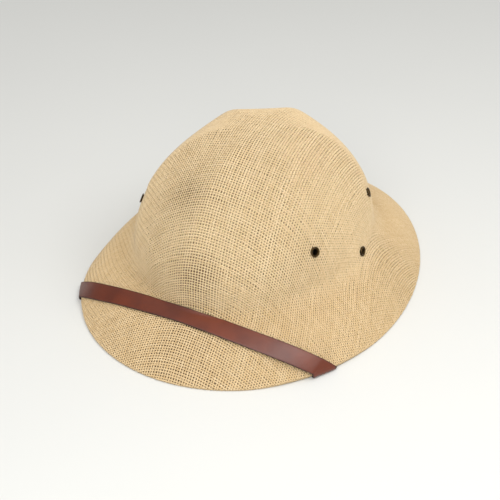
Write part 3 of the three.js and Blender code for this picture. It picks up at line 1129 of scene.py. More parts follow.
@dataclass
class WovenCloth:
    """The coarse straw cloth over the form, every strand a flat body that passes over and under."""

    net: ClothNet
    holes: Array
    hole_radius: float = 3.55
    widths: tuple[float, float] = (1.5, 1.46)
    thickness: float = 0.5
    weave_height: float = 0.21
    depth: float = 0.41
    steps: int = 2
    spots: tuple[LooseSpot, ...] = (
        LooseSpot(6.0, 60.0, 18.0, 0.3), LooseSpot(-19.0, 105.0, 19.0, 0.34),
        LooseSpot(62.0, 68.0, 12.0, 0.1), LooseSpot(-62.0, 70.0, 14.0, 0.1))
    crossing_room: float = 1.08
    underside: float = 0.7
    swell: float = 0.06
    swell_lengths: tuple[float, ...] = (70.0, 26.0, 11.0)
    swell_limits: tuple[float, float] = (0.72, 1.3)
    tone_middle: float = 0.62
    tone_spread: float = 0.11
    tone_reach: float = 0.09
    tone_lengths: tuple[float, ...] = (60.0, 30.0, 13.0)
    seeds: tuple[int, int, int] = (21, 31, 41)
    brim_top: float = 46.0
    brim_blend: float = 16.0
    brim_darkening: float = 0.34
    bundles: int = 3

    def _refine(self, values: Array) -> Array:
        """Divides each stretch between two crossings into steps.

        Args:
            values: a table with the crossings on its second axis.

        Returns:
            The table with the steps between them.
        """
        shares = np.arange(self.steps) / self.steps
        start, end = values[:, :-1, None], values[:, 1:, None]
        parts = start + (end - start) * shares.reshape(1, 1, -1, *([1] * (values.ndim - 2)))
        parts = parts.reshape(values.shape[0], -1, *values.shape[2:])
        return np.concatenate([parts, values[:, -1:]], axis=1)

    def _lines(self, way: Way) -> dict[str, Array]:
        """The middle lines of all strands of one way.

        Args:
            way: which way they run.

        Returns:
            Points, normals, widths, heights, lengths, room to the nearest cut edge and which is on top.
        """
        warp = way is Way.WARP
        turned = (lambda table: table) if warp else (lambda table: np.swapaxes(table, 0, 1))
        skin, net = self.net.skin, self.net
        chart = self._refine(turned(net.chart))
        alive = self._refine(turned(net.alive).astype(float)) > NEARLY_ONE
        turn, run = skin.polar(chart)
        points, normals = skin.point(turn, run), skin.normal(turn, run)
        openness = self._refine(turned(net.openness()))
        strands, samples = chart.shape[:2]
        pitch = net.weft_pitch if warp else net.warp_pitch
        lengths = np.arange(samples) * pitch / self.steps
        swell_seed, tone_seed, shade_seed = (seed + warp for seed in self.seeds)
        swell = 1 + Wander(swell_seed, self.swell, self.swell_lengths).along(strands, lengths)
        loose = 1 - sum(spot.thinning(skin, points) for spot in self.spots)
        crossing = np.clip(openness * self.crossing_room, 0, 1)
        width = self.widths[0 if warp else 1] * crossing * np.clip(swell, *self.swell_limits) * loose
        first = np.where(np.arange(strands) % 2 == 0, 1.0, -1.0)[:, None] * (1 if warp else -1)
        wave = first * np.cos(np.pi * np.arange(samples) / self.steps)
        room = skin.hem_at(turn) - run
        for hole in self.holes:
            room = np.minimum(room, np.linalg.norm(points - hole, axis=-1) - self.hole_radius)
        room = np.where(alive, room, -1.0)
        tone = Wander(tone_seed, self.tone_reach, self.tone_lengths).along(strands, lengths)
        own = np.random.default_rng(shade_seed).normal(0, self.tone_spread, (strands, 1))
        # The strands are made darker below brim_top, across the brim.
        brim_darker = self.brim_darkening * smooth((self.brim_top - points[..., 2]) / self.brim_blend)
        tone = np.clip(self.tone_middle + own + tone - brim_darker, 0, 1)
        return {"points": points, "normals": normals, "width": width, "wave": wave, "room": room,
                "along": np.broadcast_to(lengths, room.shape), "tone": tone}

    def _strand(self, part: dict[str, Array]) -> tuple[Array, Array, Array, Array]:
        """One strand's body.

        Args:
            part: its middle line and what belongs to it.

        Returns:
            Its points, faces, places on the strand and depths in the cloth.
        """
        normals = part["normals"]
        lift = self.weave_height * part["wave"] - self.depth
        centre = part["points"] + normals * lift[:, None]
        side = unit(np.cross(normals, np.gradient(centre, axis=0)))
        half = part["width"][:, None] / 2
        thick = self.thickness / 2
        low = centre - normals * thick * self.underside
        section = np.stack([low + side * half, centre + normals * thick, low - side * half], axis=1)
        count, ring = len(centre), np.arange(3)
        base, after = np.arange(count - 1)[:, None] * 3, (ring + 1) % 3
        faces = np.stack([base + ring, base + after, base + 3 + after, base + 3 + ring], axis=-1)
        across = np.broadcast_to(np.array([0.0, 0.5, 1.0]), (count, 3))
        along = np.repeat(part["along"][:, None], 3, axis=1)
        place = np.stack([along, across], axis=-1).reshape(-1, 2)
        low_height = -self.underside * thick
        height = lift[:, None] + self.depth + np.array([low_height, thick, low_height])
        deepest = -self.weave_height - thick
        depth = (height - deepest) / (-2 * deepest)
        return section.reshape(-1, 3), faces.reshape(-1, 4), place, depth.ravel()

    def _runs(self, room: Array) -> list[tuple[int, int]]:
        """Finds the stretches of one strand that lie inside the cloth's edges.

        Args:
            room: the room to the nearest edge at each sample.

        Returns:
            The first sample of each and the one past its last.
        """
        inside = np.concatenate([[False], room > 0, [False]]).astype(int)
        edges = np.flatnonzero(np.diff(inside))
        return [(start, end) for start, end in zip(edges[::2], edges[1::2]) if end - start > 1]

    def _cut(self, lines: dict[str, Array], strand: int, start: int, end: int) -> dict[str, Array]:
        """One stretch of a strand, brought exactly to the cloth's edges at both ends.

        Args:
            lines: all strands of one way.
            strand: which strand.
            start, end: its first sample inside and the first one past it.

        Returns:
            The stretch's own values.
        """
        room = lines["room"][strand]
        part = {}
        for key in ("points", "normals", "width", "wave", "along", "tone"):
            row = lines[key][strand]
            pieces = [row[start:end]]
            if start > 0 and room[start - 1] > -1:
                share = room[start] / (room[start] - room[start - 1])
                pieces.insert(0, mix(row[start], row[start - 1], share)[None])
            if end < len(row) and room[end] > -1:
                share = room[end - 1] / (room[end - 1] - room[end])
                pieces.append(mix(row[end - 1], row[end], share)[None])
            part[key] = np.concatenate(pieces)
        return part

    def build(self, groups: Groups) -> None:
        """Builds and dresses the strands, in a few bundles for each way.

        Args:
            groups: the shared node groups.
        """
        for way in Way:
            lines = self._lines(way)
            finish = StrawStrand(f"straw_{way.value}").build(groups)
            shown = np.flatnonzero((lines["room"] > 0).any(axis=1))
            share = np.cumsum((lines["room"][shown] > 0).sum(axis=1))
            bundle = np.minimum(share * self.bundles // share[-1], self.bundles - 1)
            for number in range(self.bundles):
                self._bundle(f"straw_{way.value}_{number + 1}", lines, shown[bundle == number], finish)

    def _bundle(self, name: str, lines: dict[str, Array], strands: Array,
                finish: bpy.types.Material) -> None:
        """Builds one bundle of strands as one piece.

        Args:
            name: the piece's name.
            lines: all strands of one way.
            strands: the numbers of those in the bundle.
            finish: their material.
        """
        points, quads, ends, places, depths, tones, count = [], [], [], [], [], [], 0
        for strand in strands:
            for start, end in self._runs(lines["room"][strand]):
                part = self._cut(lines, strand, start, end)
                own_points, own_faces, place, depth = self._strand(part)
                number = np.full((len(place), 1), float(strand))
                points.append(own_points)
                quads.append(own_faces + count)
                last = count + len(own_points) - 3
                ends += [[count, count + 2, count + 1], [last, last + 1, last + 2]]
                places.append(np.hstack([place, number]))
                depths.append(depth)
                tones.append(np.repeat(part["tone"], 3))
                count += len(own_points)
        sides = np.concatenate(quads)
        corners = np.concatenate([sides.ravel(), np.array(ends).ravel()])
        sizes = np.concatenate([np.full(len(sides), 4), np.full(len(ends), 3)])
        piece = shape_mesh(name, np.concatenate(points), corners, sizes)
        paint(piece, "strand_place", np.concatenate(places))
        paint(piece, "strand_depth", np.concatenate(depths))
        paint(piece, "strand_tone", np.concatenate(tones))
        piece.data.materials.append(finish)
        hand_over(piece, Slot.STRAW)


@dataclass
class StiffForm:
    """The pressed form under the cloth: crown and brim in one, open below."""

    skin: Skin
    seats: list["Seat"]
    cloth_depth: float = 0.95
    turn_step: float = 1.2
    run_step: float = 2.0
    edge_shares: tuple[float, float] = (0.3, 0.6)
    strap_lift: float = 0.7
    hole_radius: float = 3.4
    hole_sides: int = 36
    hole_length: float = 12.0

    def _rings(self) -> tuple[list[Array], int]:
        """The rings of points from the top, over the edge of the brim and back up inside.

        Returns:
            The rings, and how many of them are on the outer face.
        """
        form, skin = self.skin.form, self.skin
        turns = np.arange(-180, 180, self.turn_step)
        rows = int(skin.rim_run.max() / self.run_step)
        shares = np.arange(1, rows + 1) / rows
        outer = []
        past = [1.0 + share / rows for share in self.edge_shares]
        for share in np.concatenate([shares, past]):
            run = np.minimum(share, 1.0) * skin.rim_at(turns)
            run = run + max(share - 1.0, 0.0) * rows * (skin.hem_at(turns) - skin.rim_at(turns))
            outer.append(skin.point(turns, run) - skin.normal(turns, run) * self.cloth_depth)
        inner = []
        for share in shares[::-1][1:]:
            run = share * skin.rim_at(turns)
            inner.append(skin.point(turns, run) - skin.normal(turns, run) * form.wall)
        foot = outer[-1] * np.array([1.0, 1.0, 0.0])
        foot[:, 2] = form.strap_room * form.strap_ease(turns) * self.strap_lift
        inwards = unit((inner[0] - foot) * np.array([1.0, 1.0, 0.0]))
        land = foot + inwards * (form.land_width - self.cloth_depth)
        return [*outer, foot, land, *inner], len(outer)

    def build(self, groups: Groups) -> None:
        """Builds the form, cuts the eyelets' holes and dresses its two faces.

        Args:
            groups: the shared node groups.
        """
        rings, outer_count = self._rings()
        size, form = len(rings[0]), self.skin.form
        top = np.array([[0.0, form.top_y, form.top_height - self.cloth_depth]])
        under = np.array([[0.0, form.top_y, form.top_height - form.wall]])
        points = np.concatenate([top, *rings, under])
        column, after = np.arange(size), (np.arange(size) + 1) % size
        quads = np.concatenate([
            np.stack([1 + row * size + column, 1 + (row + 1) * size + column,
                      1 + (row + 1) * size + after, 1 + row * size + after], axis=1)
            for row in range(len(rings) - 1)])
        last, end = 1 + (len(rings) - 1) * size, len(points) - 1
        first_fan = np.stack([np.zeros(size, int), 1 + column, 1 + after], axis=1)
        last_fan = np.stack([last + column, np.full(size, end), last + after], axis=1)
        corners = np.concatenate([first_fan.ravel(), quads.ravel(), last_fan.ravel()])
        sizes = np.concatenate([np.full(size, 3), np.full(len(quads), 4), np.full(size, 3)])
        piece = shape_mesh("stiff_form", points, corners, sizes)
        inner_faces = np.arange(len(sizes)) >= size + (outer_count - 1) * size
        piece.data.polygons.foreach_set("material_index", inner_faces.astype(np.int32))
        runs = self._runs_of(rings)
        paint(piece, "cloth_place", np.concatenate([
            self.skin.cloth_place(points, runs), np.zeros((len(points), 1))], axis=1))
        piece.data.materials.append(FormBacking().build(groups))
        piece.data.materials.append(PlainLining().build(groups))
        self._cut_holes(piece)
        hand_over(piece, Slot.STRAW, "helmet_shell")

    def _runs_of(self, rings: list[Array]) -> Array:
        """Measures the run of each point along the rings from the top.

        Args:
            rings: the rings from the top outwards and back.

        Returns:
            The runs, with those of the two middle points.
        """
        steps = [np.linalg.norm(rings[0] - np.array([0.0, self.skin.form.top_y, rings[0][0, 2]]), axis=1)]
        for before, ring in zip(rings, rings[1:]):
            steps.append(np.linalg.norm(ring - before, axis=1))
        runs = np.cumsum(steps, axis=0)
        folded = np.minimum(runs, runs[-1] - runs)
        return np.concatenate([[0.0], folded.ravel(), [0.0]])

    def _cut_holes(self, piece: bpy.types.Object) -> None:
        """Cuts a round hole at each eyelet.

        Args:
            piece: the form.
        """
        angle = np.arange(self.hole_sides) / self.hole_sides * 2 * np.pi
        circle = np.stack([np.cos(angle), np.sin(angle)], axis=1) * self.hole_radius
        points, faces, sizes = [], [], []
        side = np.arange(self.hole_sides)
        after = (side + 1) % self.hole_sides
        for seat in self.seats:
            base = len(points) * 2 * self.hole_sides
            ends = [np.column_stack([circle, np.full(self.hole_sides, end)])
                    for end in (-self.hole_length / 2, self.hole_length / 2)]
            points.append(seat.place(np.concatenate(ends)))
            walls = np.stack([side, after, after + self.hole_sides, side + self.hole_sides], axis=1)
            faces += [walls.ravel() + base, side[::-1] + base, side + self.hole_sides + base]
            sizes += [4] * self.hole_sides + [self.hole_sides] * 2
        cutter = shape_mesh("hole_cutter", np.concatenate(points), np.concatenate(faces), sizes)
        cut = piece.modifiers.new("eyelet_holes", "BOOLEAN")
        cut.operation, cut.object, cut.solver = "DIFFERENCE", cutter, "EXACT"
        apply_modifiers(piece)
        bpy.data.objects.remove(cutter)


def apply_modifiers(piece: bpy.types.Object) -> None:
    """Makes a piece's modifiers part of its mesh.

    Args:
        piece: the object.
    """
    evaluated = piece.evaluated_get(bpy.context.evaluated_depsgraph_get())
    piece.data = bpy.data.meshes.new_from_object(evaluated)
    piece.modifiers.clear()


@dataclass(frozen=True)
class Seat:
    """Where a fitting stands on the shell: its foot and the frame round it."""

    origin: Array
    side: Array
    up: Array
    out: Array

    def place(self, points: Array) -> Array:
        """Moves points from the fitting's own frame to the shell."""
        return self.origin + points @ np.stack([self.side, self.up, self.out])


def seat_at(skin: Skin, turn: float, run: float, outwards: bool = True) -> Seat:
    """Finds the seat at a turn and a run.

    Args:
        skin: the outer face.
        turn, run: the place on it.
        outwards: whether the fitting points out of the helmet, or into it.

    Returns:
        The seat, with its side level.
    """
    origin, normal = skin.point(turn, run), skin.normal(turn, run)
    out = normal if outwards else -normal
    side = unit(np.cross(np.array([0.0, 0.0, 1.0]), out))
    return Seat(origin, side, np.cross(out, side), out)


@dataclass(frozen=True)
class TurnedProfile:
    """A ring or knob turned round its own axis, from corners that are rounded off."""

    corners: tuple[tuple[float, float], ...]
    rounding: float = 0.25
    arc_steps: int = 4
    sides: int = 48
    closed: bool = True

    def outline(self) -> tuple[Array, Array]:
        """The rounded profile.

        Returns:
            Radius and height of each point, and how far each is from a flat, from 0 to 1.
        """
        corners = np.array(self.corners)
        count = len(corners)
        points, edge = [], []
        for index in range(count):
            here, before, after = corners[index], corners[index - 1], corners[(index + 1) % count]
            if not self.closed and index in (0, count - 1):
                points.append(here)
                edge.append(0.0)
                continue
            into, out = unit(before - here), unit(after - here)
            room = min(np.linalg.norm(before - here), np.linalg.norm(after - here)) * 0.45
            reach = min(self.rounding, room)
            for share in np.linspace(0, 1, self.arc_steps + 1):
                start, end = here + into * reach, here + out * reach
                points.append(start * (1 - share) ** 2 + here * 2 * share * (1 - share) + end * share**2)
                edge.append(math.sin(math.pi * share))
        return np.array(points), np.array(edge)

    def build(self, name: str, seat: Seat, finish: bpy.types.Material) -> bpy.types.Object:
        """Turns the profile round the seat's axis.

        Args:
            name: the piece's name.
            seat: where it stands.
            finish: its material.

        Returns:
            The piece.
        """
        outline, edge = self.outline()
        angle = np.arange(self.sides) / self.sides * 2 * np.pi
        radius, height = outline[:, 0][None, :, None], outline[:, 1][None, :, None]
        round_ = np.stack([np.cos(angle), np.sin(angle)], axis=1)[:, None, :]
        size = len(outline)
        grid = np.concatenate([radius * round_, np.broadcast_to(height, (self.sides, size, 1))], axis=2)
        column, after = np.arange(self.sides), (np.arange(self.sides) + 1) % self.sides
        rows = range(size if self.closed else size - 1)
        faces = np.concatenate([
            np.stack([column * size + row, after * size + row, after * size + (row + 1) % size,
                      column * size + (row + 1) % size], axis=1) for row in rows])
        piece = shape_mesh(name, seat.place(grid.reshape(-1, 3)), faces)
        paint(piece, "edge", np.tile(edge, self.sides))
        piece.data.materials.append(finish)
        return piece


@dataclass
class Eyelets:
    """Six air eyelets, each a rolled bronze flange on a barrel through the wall."""

    skin: Skin
    bore: float = 2.45
    barrel: float = 3.2
    flange: float = 3.98
    clinch: float = 3.9
    flange_height: float = 0.8
    foot: float = 0.5
    behind: float = 3.2
    clinch_height: float = 0.6
    flange_edge: float = 0.2
    flange_shoulder: float = 0.7
    lip: float = 0.15
    lip_share: float = 0.6
    lip_drop: float = 0.2
    rows: tuple[tuple[str, float, float, float], ...] = (
        ("front", 62.7, 71.0, 0.0), ("side", 93.7, 46.5, 0.2), ("back", 117.0, 74.0, 0.0))

    def seats(self) -> dict[str, tuple[Seat, float]]:
        """Finds the seat of each eyelet.

        Returns:
            Seats by name, each with how much higher its flange stands where the wall curves.
        """
        found = {}
        runs = np.arange(0, self.skin.rim_run.max(), 0.25)
        for name, turn, height, extra in self.rows:
            for side, sign in (("left", 1), ("right", -1)):
                heights = self.skin.point(np.full(runs.shape, sign * turn), runs)[:, 2]
                run = float(np.interp(-height, -heights, runs))
                found[f"eyelet_{name}_{side}"] = (seat_at(self.skin, sign * turn, run), extra)
        return found

    def build(self, groups: Groups) -> None:
        """Builds and dresses the eyelets.

        Args:
            groups: the shared node groups.
        """
        finish = AntiqueBronze().build(groups)
        for name, (seat, extra) in self.seats().items():
            foot, back = self.foot + extra, -self.behind - extra
            ring = TurnedProfile((
                (self.bore, back - self.clinch_height), (self.clinch, back - self.clinch_height),
                (self.clinch, back), (self.barrel, back), (self.barrel, foot), (self.flange, foot),
                (self.flange - self.flange_edge, foot + self.flange_height * self.flange_shoulder),
                ((self.flange + self.bore) / 2, foot + self.flange_height),
                (self.bore + self.lip, foot + self.flange_height * self.lip_share),
                (self.bore, foot - self.lip_drop)))
            hand_over(ring.build(f"{name}_ring", seat, finish), Slot.METAL, name)


@dataclass(frozen=True)
class PlainStud:
    """The plain stud that holds an end of the strap inside the crown."""

    stand: float = 0.8
    base_radius: float = 4.2
    base_height: float = 0.8
    post_radius: float = 1.7
    strap_gap: float = 0.45
    head_gap: float = 0.9
    head_radius: float = 3.8
    crown_radius: float = 2.4
    head_height: float = 1.2

    def corners(self, wall: float, lift: float, strap: float) -> tuple[tuple[float, float], ...]:
        """The stud's outline from its foot to its top.

        Args:
            wall: the shell's thickness.
            lift: how far off the shell the strap is.
            strap: the strap's thickness.

        Returns:
            Radius and height of each corner.
        """
        foot = wall + self.stand
        head = wall + lift + self.strap_gap + strap + self.head_gap
        return (
            (0.0, foot), (self.base_radius, foot), (self.base_radius, foot + self.base_height),
            (self.post_radius, foot + self.base_height), (self.post_radius, head), (self.head_radius, head),
            (self.crown_radius, head + self.head_height), (0.0, head + self.head_height))


@dataclass
class ChinStrap:
    """The leather strap over the front of the brim, round its edge and up to a stud on each side."""

    skin: Skin
    width: float = 14.0
    thickness: float = 1.3
    gap: float = 0.47
    corner: float = 0.45
    square_reach: float = 24.0
    stations: int = 420
    across_points: int = 12
    samples: int = 4000
    time_step: float = 0.02
    edge_reach: float = 3.5
    edge_density: float = 5.0
    worn_edge: float = 1.4
    route: tuple[tuple[float, float, float, float], ...] = (
        (0, 53, 0, 1.4), (12, 50.1, 0, 1.4), (23, 43.1, 0, 1.4), (32.5, 33.7, 0, 1.4),
        (41, 21.5, 0, 1.4), (48.5, 8.4, 0, 1.4), (52.5, 0, 0, 1.4), (56.5, -10, 0, 1.4),
        (62.5, -27, 0, 1.1), (66.5, -42, 0.3, 0.5), (69, -54, 1.9, 0), (70, -62, 1.9, 0), (71, -70, 1.9, 0))
    stud: PlainStud = PlainStud()
    stud_before_end: float = 7.0
    crest: float = 1.9
    crease_near: float = 2.0
    crease_far: float = 10.0
    crest_reach: float = 44.0

    def _route_points(self) -> tuple[Array, Array]:
        """The route through both sides of the table, with the strap's slide to the wearer's left.

        Returns:
            Turn, inward run and lift at each knot, and the curve's time there.
        """
        table = np.array(self.route, float)
        turn, inward, lift, slid = table.T
        sides = [np.stack([sign * turn + slid, inward, lift], axis=1) for sign in (-1, 1)]
        knots = np.concatenate([sides[0][1:][::-1], sides[1]])
        spans = np.linalg.norm(np.diff(knots, axis=0), axis=1) ** 0.5
        return knots, np.concatenate([[0.0], np.cumsum(spans)])

    def _at(self, time: Array) -> Array:
        """Follows the route by a smooth curve through its knots.

        Args:
            time: the curve's times.

        Returns:
            Turn, inward run and lift at each.
        """
        knots, times = self._route_points()
        slopes = np.gradient(knots, times, axis=0)
        span = np.clip(np.searchsorted(times, time, side="right") - 1, 0, len(times) - 2)
        length = (times[span + 1] - times[span])[:, None]
        t = (time[:, None] - times[span][:, None]) / length
        return (knots[span] * (2 * t**3 - 3 * t**2 + 1) + slopes[span] * length * (t**3 - 2 * t**2 + t)
                + knots[span + 1] * (3 * t**2 - 2 * t**3) + slopes[span + 1] * length * (t**3 - t**2))

    def skin_point(self, turn: Array, inward: Array, lift: Array) -> Array:
        """Points off the shell's face, above the brim, round its edge or under it.

        Args:
            turn: turns in degrees.
            inward: runs in from the middle of the edge, negative underneath.
            lift: distances off the face.

        Returns:
            The points.
        """
        wall = self.skin.form.wall
        half, rim = wall / 2, self.skin.rim_at(turn)
        bend = math.pi / 2 * half
        run = rim - np.maximum(np.abs(inward) - bend, 0)
        normal = self.skin.normal(turn, np.minimum(run, rim - 1.0))
        over = np.where(inward > 0, lift, -wall - lift)
        flat = self.skin.point(turn, run) + normal * over[..., None]
        edge_point = self.skin.point(turn, rim)
        outwards = unit(edge_point - self.skin.point(turn, rim - 3.0))
        angle = np.clip(inward / half, -math.pi / 2, math.pi / 2)
        round_ = (edge_point + normal * ((half + lift) * np.sin(angle) - half)[..., None]
                  + outwards * ((half + lift) * np.cos(angle))[..., None])
        return np.where((np.abs(inward) < bend)[..., None], round_, flat)

    def _section(self) -> tuple[Array, Array]:
        """The strap's section with rounded corners.

        Returns:
            Its points across and off the face, and how near each is to an edge.
        """
        half, inset = self.width / 2, self.corner
        tops = np.linspace(-half + inset, half - inset, self.across_points)
        turn = np.linspace(0, math.pi / 2, 4)[1:-1]
        low, high = self.gap, self.gap + self.thickness
        under = [(x, low) for x in tops]
        right = [(half - inset + inset * math.sin(a), low + inset - inset * math.cos(a)) for a in turn]
        right += [(half, low + inset), (half, high - inset)]
        right += [(half - inset + inset * math.cos(a), high - inset + inset * math.sin(a)) for a in turn]
        over = [(x, high) for x in tops[::-1]]
        left = [(-x, y) for x, y in right[::-1]]
        section = np.array(under + right + over + left)
        away = half - np.abs(section[:, 0])
        return section, np.clip(1 - away / self.worn_edge, 0, 1)

    def _arch(self, turn: Array, aside: Array, inward: Array) -> Array:
        """How far the stiff strap stands off the brim before it is creased down at the wearer's left.

        Args:
            turn: turns of the strap's middle.
            aside: how far to the side of the middle.
            inward: runs in from the edge of the brim.

        Returns:
            The extra lift.
        """
        crease = mix(self.crease_near, self.crease_far, 0.5 + np.sign(turn) * aside / self.width)
        down = np.clip(inward / crease, 0, 1)
        back = smooth((self.crest_reach - inward) / (self.crest_reach - crease))
        return np.where(turn > 0, self.crest * np.where(inward < crease, down, back), 0.0)

    def _across(self, rows: Array, ahead: Array) -> tuple[Array, Array]:
        """The way across the strap: square to it, and parallel to the edge of the brim where it goes round.

        Args:
            rows: turn, inward run and lift at each station.
            ahead: how they change along the strap.

        Returns:
            The way across for each millimetre of width, and the millimetres in a degree of turn.
        """
        flat = np.zeros(len(rows))
        here = self.skin_point(rows[:, 0], rows[:, 1], flat)
        round_ = self.skin_point(rows[:, 0] + 0.5, rows[:, 1], flat) - here
        inwards = unit(self.skin_point(rows[:, 0], rows[:, 1] + 0.3, flat) - here)
        per_turn = np.linalg.norm(round_, axis=1) / 0.5
        slant = (unit(round_) * inwards).sum(axis=1)

        def measure(one: Array, other: Array) -> Array:
            """The dot product of two ways along the skin."""
            crossed = one[:, 0] * other[:, 1] + one[:, 1] * other[:, 0]
            return ((one * other).sum(axis=1) + slant * crossed)[:, None]

        along = np.stack([ahead[:, 0] * per_turn, ahead[:, 1]], axis=1)
        square = np.stack([-(slant * along[:, 0] + along[:, 1]), along[:, 0] + slant * along[:, 1]], axis=1)
        square /= np.sqrt(measure(square, square))
        level = np.stack([np.sign(square[:, 0]), flat], axis=1)
        near_edge = 1 - smooth(np.abs(rows[:, 1]) / self.square_reach)
        across = mix(square, level, near_edge[:, None])
        return across / measure(across, square), per_turn

    def build(self, groups: Groups) -> None:
        """Builds and dresses the strap.

        Args:
            groups: the shared node groups.
        """
        _, times = self._route_points()
        even_times = np.linspace(0, times[-1], self.samples)
        middle = self._at(even_times)
        zero = np.zeros(len(middle))
        line = self.skin_point(middle[:, 0], middle[:, 1], zero)
        step = np.linalg.norm(np.diff(line, axis=0), axis=1)
        near = np.abs(middle[:-1, 1]) < self.edge_reach
        cost = np.concatenate([[0.0], np.cumsum(step * np.where(near, self.edge_density, 1.0))])
        station_times = np.interp(np.linspace(0, cost[-1], self.stations), cost, even_times)
        rows = self._at(station_times)
        ahead = (self._at(np.minimum(station_times + self.time_step, times[-1]))
                 - self._at(np.maximum(station_times - self.time_step, 0)))
        across, per_turn = self._across(rows, ahead)
        section, edge = self._section()
        turn = rows[:, 0, None] + section[None, :, 0] * across[:, 0, None] / per_turn[:, None]
        inward = rows[:, 1, None] + section[None, :, 0] * across[:, 1, None]
        arch = self._arch(rows[:, 0, None], section[None, :, 0], inward)
        lift = rows[:, 2, None] + section[None, :, 1] + arch
        grid = self.skin_point(turn, inward, lift)
        size, count = len(section), len(rows)
        column, after = np.arange(size), (np.arange(size) + 1) % size
        faces = np.concatenate([
            np.stack([row + column, row + after, row + size + after, row + size + column], axis=1)
            for row in np.arange(count - 1) * size])
        corners = np.concatenate([faces.ravel(), column[::-1], (count - 1) * size + column])
        sizes = np.concatenate([np.full(len(faces), 4), [size, size]])
        piece = shape_mesh("leather_strap", grid.reshape(-1, 3), corners, sizes)
        paint(piece, "edge", np.tile(edge, count))
        piece.data.materials.append(StrapLeather().build(groups))
        hand_over(piece, Slot.LEATHER, "chin_strap")
        self._studs(groups)

    def _studs(self, groups: Groups) -> None:
        """Builds the plain studs that hold the strap's ends inside the crown.

        Args:
            groups: the shared node groups.
        """
        finish = AntiqueBronze(name="stud_bronze").build(groups)
        wall = self.skin.form.wall
        turn, inward, lift, _ = self.route[-1]
        knob = TurnedProfile(self.stud.corners(wall, lift, self.thickness), closed=False)
        for side, sign in (("left", 1), ("right", -1)):
            underneath = -(inward + self.stud_before_end) - math.pi / 2 * wall / 2
            run = float(self.skin.rim_at(sign * turn)) - underneath
            seat = seat_at(self.skin, sign * turn, run, outwards=False)
            hand_over(knob.build(f"stud_{side}", seat, finish), Slot.METAL, f"strap_stud_{side}")


@dataclass(frozen=True)
class Lamp:
    """A square soft lamp that points at the helmet: its power in watts, its side and its place in metres."""

    name: str
    power: float
    size: float
    place: tuple[float, float, float]


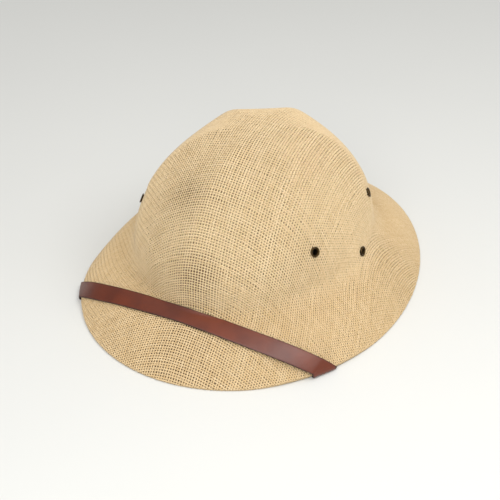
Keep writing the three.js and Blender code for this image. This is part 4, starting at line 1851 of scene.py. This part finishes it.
@dataclass
class Studio:
    """A plain pale floor, soft light and the camera."""

    azimuth: float = 30.0
    elevation: float = 33.56
    target: tuple[float, float, float] = (-7.21, -5.72, 16.96)
    distance: float = 1000.0
    lens: float = 88.58
    sensor: float = 36.0
    floor_size: float = 6.0
    zenith: float = 0.82
    horizon: float = 0.51
    dim_side: float = 0.4
    dim_reach: float = 0.55
    floor_dark: Colour = srgb(216, 216, 212)
    floor_light: Colour = srgb(221, 221, 217)
    lamps: tuple[Lamp, ...] = (
        Lamp("front", 9.4, 0.7, (0.36, -0.9, 0.95)), Lamp("left", 4.4, 0.6, (0.6, -0.05, 0.89)))

    def build(self) -> None:
        """Makes the camera, the floor and the lights."""
        self._camera()
        self._floor()
        self._light()

    def _camera(self) -> None:
        """Puts the camera at the photograph's angle."""
        turn, rise = math.radians(self.azimuth), math.radians(self.elevation)
        back = Vector((math.sin(turn) * math.cos(rise), -math.cos(turn) * math.cos(rise), math.sin(rise)))
        data = bpy.data.cameras.new("camera")
        data.lens, data.sensor_width = self.lens, self.sensor
        data.clip_start, data.clip_end = 0.05, 50.0
        camera = bpy.data.objects.new("camera", data)
        camera.location = Vector(self.target) * MM + back * self.distance * MM
        camera.rotation_euler = (-back).to_track_quat("-Z", "Y").to_euler()
        bpy.context.scene.collection.objects.link(camera)
        bpy.context.scene.camera = camera

    def _floor(self) -> None:
        """Lays a pale floor under the brim."""
        half = self.floor_size / 2 / MM
        corners = np.array([[-half, -half, 0], [half, -half, 0], [half, half, 0], [-half, half, 0]])
        floor = shape_mesh("floor", corners, np.array([[0, 1, 2, 3]]))
        material, bench = new_material("pale_floor")
        place = bench.add("ShaderNodeTexCoord").outputs["Object"]
        noise = bench.add("ShaderNodeTexNoise", {"Vector": place, "Scale": 3.0, "Detail": 2.0})
        colour = bench.blend(noise.outputs["Fac"], self.floor_dark, self.floor_light)
        shader = bench.add("ShaderNodeBsdfPrincipled", {"Base Color": colour, "Roughness": 0.9,
                                                        "Specular IOR Level": 0.1})
        bench.add("ShaderNodeOutputMaterial", {"Surface": shader.outputs["BSDF"]})
        floor.data.materials.append(material)

    def _light(self) -> None:
        """Lights the room, less from the wearer's right, and adds the soft lamps."""
        world = bpy.data.worlds.new("soft_room")
        bpy.context.scene.world = world
        world.use_nodes = True
        bench = Bench(world.node_tree)
        place = bench.add("ShaderNodeTexCoord").outputs["Generated"]
        way = bench.add("ShaderNodeSeparateXYZ", {"Vector": place})
        height = bench.maths("MAXIMUM", way.outputs["Z"], 0.0)
        level = bench.ramp(bench.maths("MULTIPLY", height, height), 0.0, 1.0, self.horizon, self.zenith)
        side = bench.ramp(way.outputs["X"], -1.0, self.dim_reach - 1.0, self.dim_side, 1.0)
        strength = bench.maths("MULTIPLY", level, side)
        room = bench.add("ShaderNodeBackground", {"Color": (1.0, 1.0, 1.0, 1.0), "Strength": strength})
        bench.add("ShaderNodeOutputWorld", {"Surface": room.outputs["Background"]})
        for lamp in self.lamps:
            data = bpy.data.lights.new(lamp.name, "AREA")
            data.energy, data.size = lamp.power, lamp.size
            light = bpy.data.objects.new(lamp.name, data)
            light.location = lamp.place
            light.rotation_euler = (-Vector(lamp.place)).to_track_quat("-Z", "Y").to_euler()
            bpy.context.scene.collection.objects.link(light)
        bpy.context.scene.view_settings.view_transform = "Standard"


def main() -> None:
    """Builds the helmet's looks piece by piece."""
    logging.basicConfig(level=logging.INFO, format="%(name)s: %(message)s")
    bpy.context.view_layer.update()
    Studio().build()
    skin = Skin(HelmetForm())
    groups = Groups()
    eyelets = Eyelets(skin)
    seats = [seat for seat, _ in eyelets.seats().values()]
    StiffForm(skin, seats).build(groups)
    net = ClothNet(skin)
    log.info("net of %d crossings", int(net.alive.sum()))
    WovenCloth(net, np.array([seat.origin for seat in seats])).build(groups)
    eyelets.build(groups)
    ChinStrap(skin).build(groups)
    bpy.context.view_layer.update()


if __name__ == "__main__":
    main()
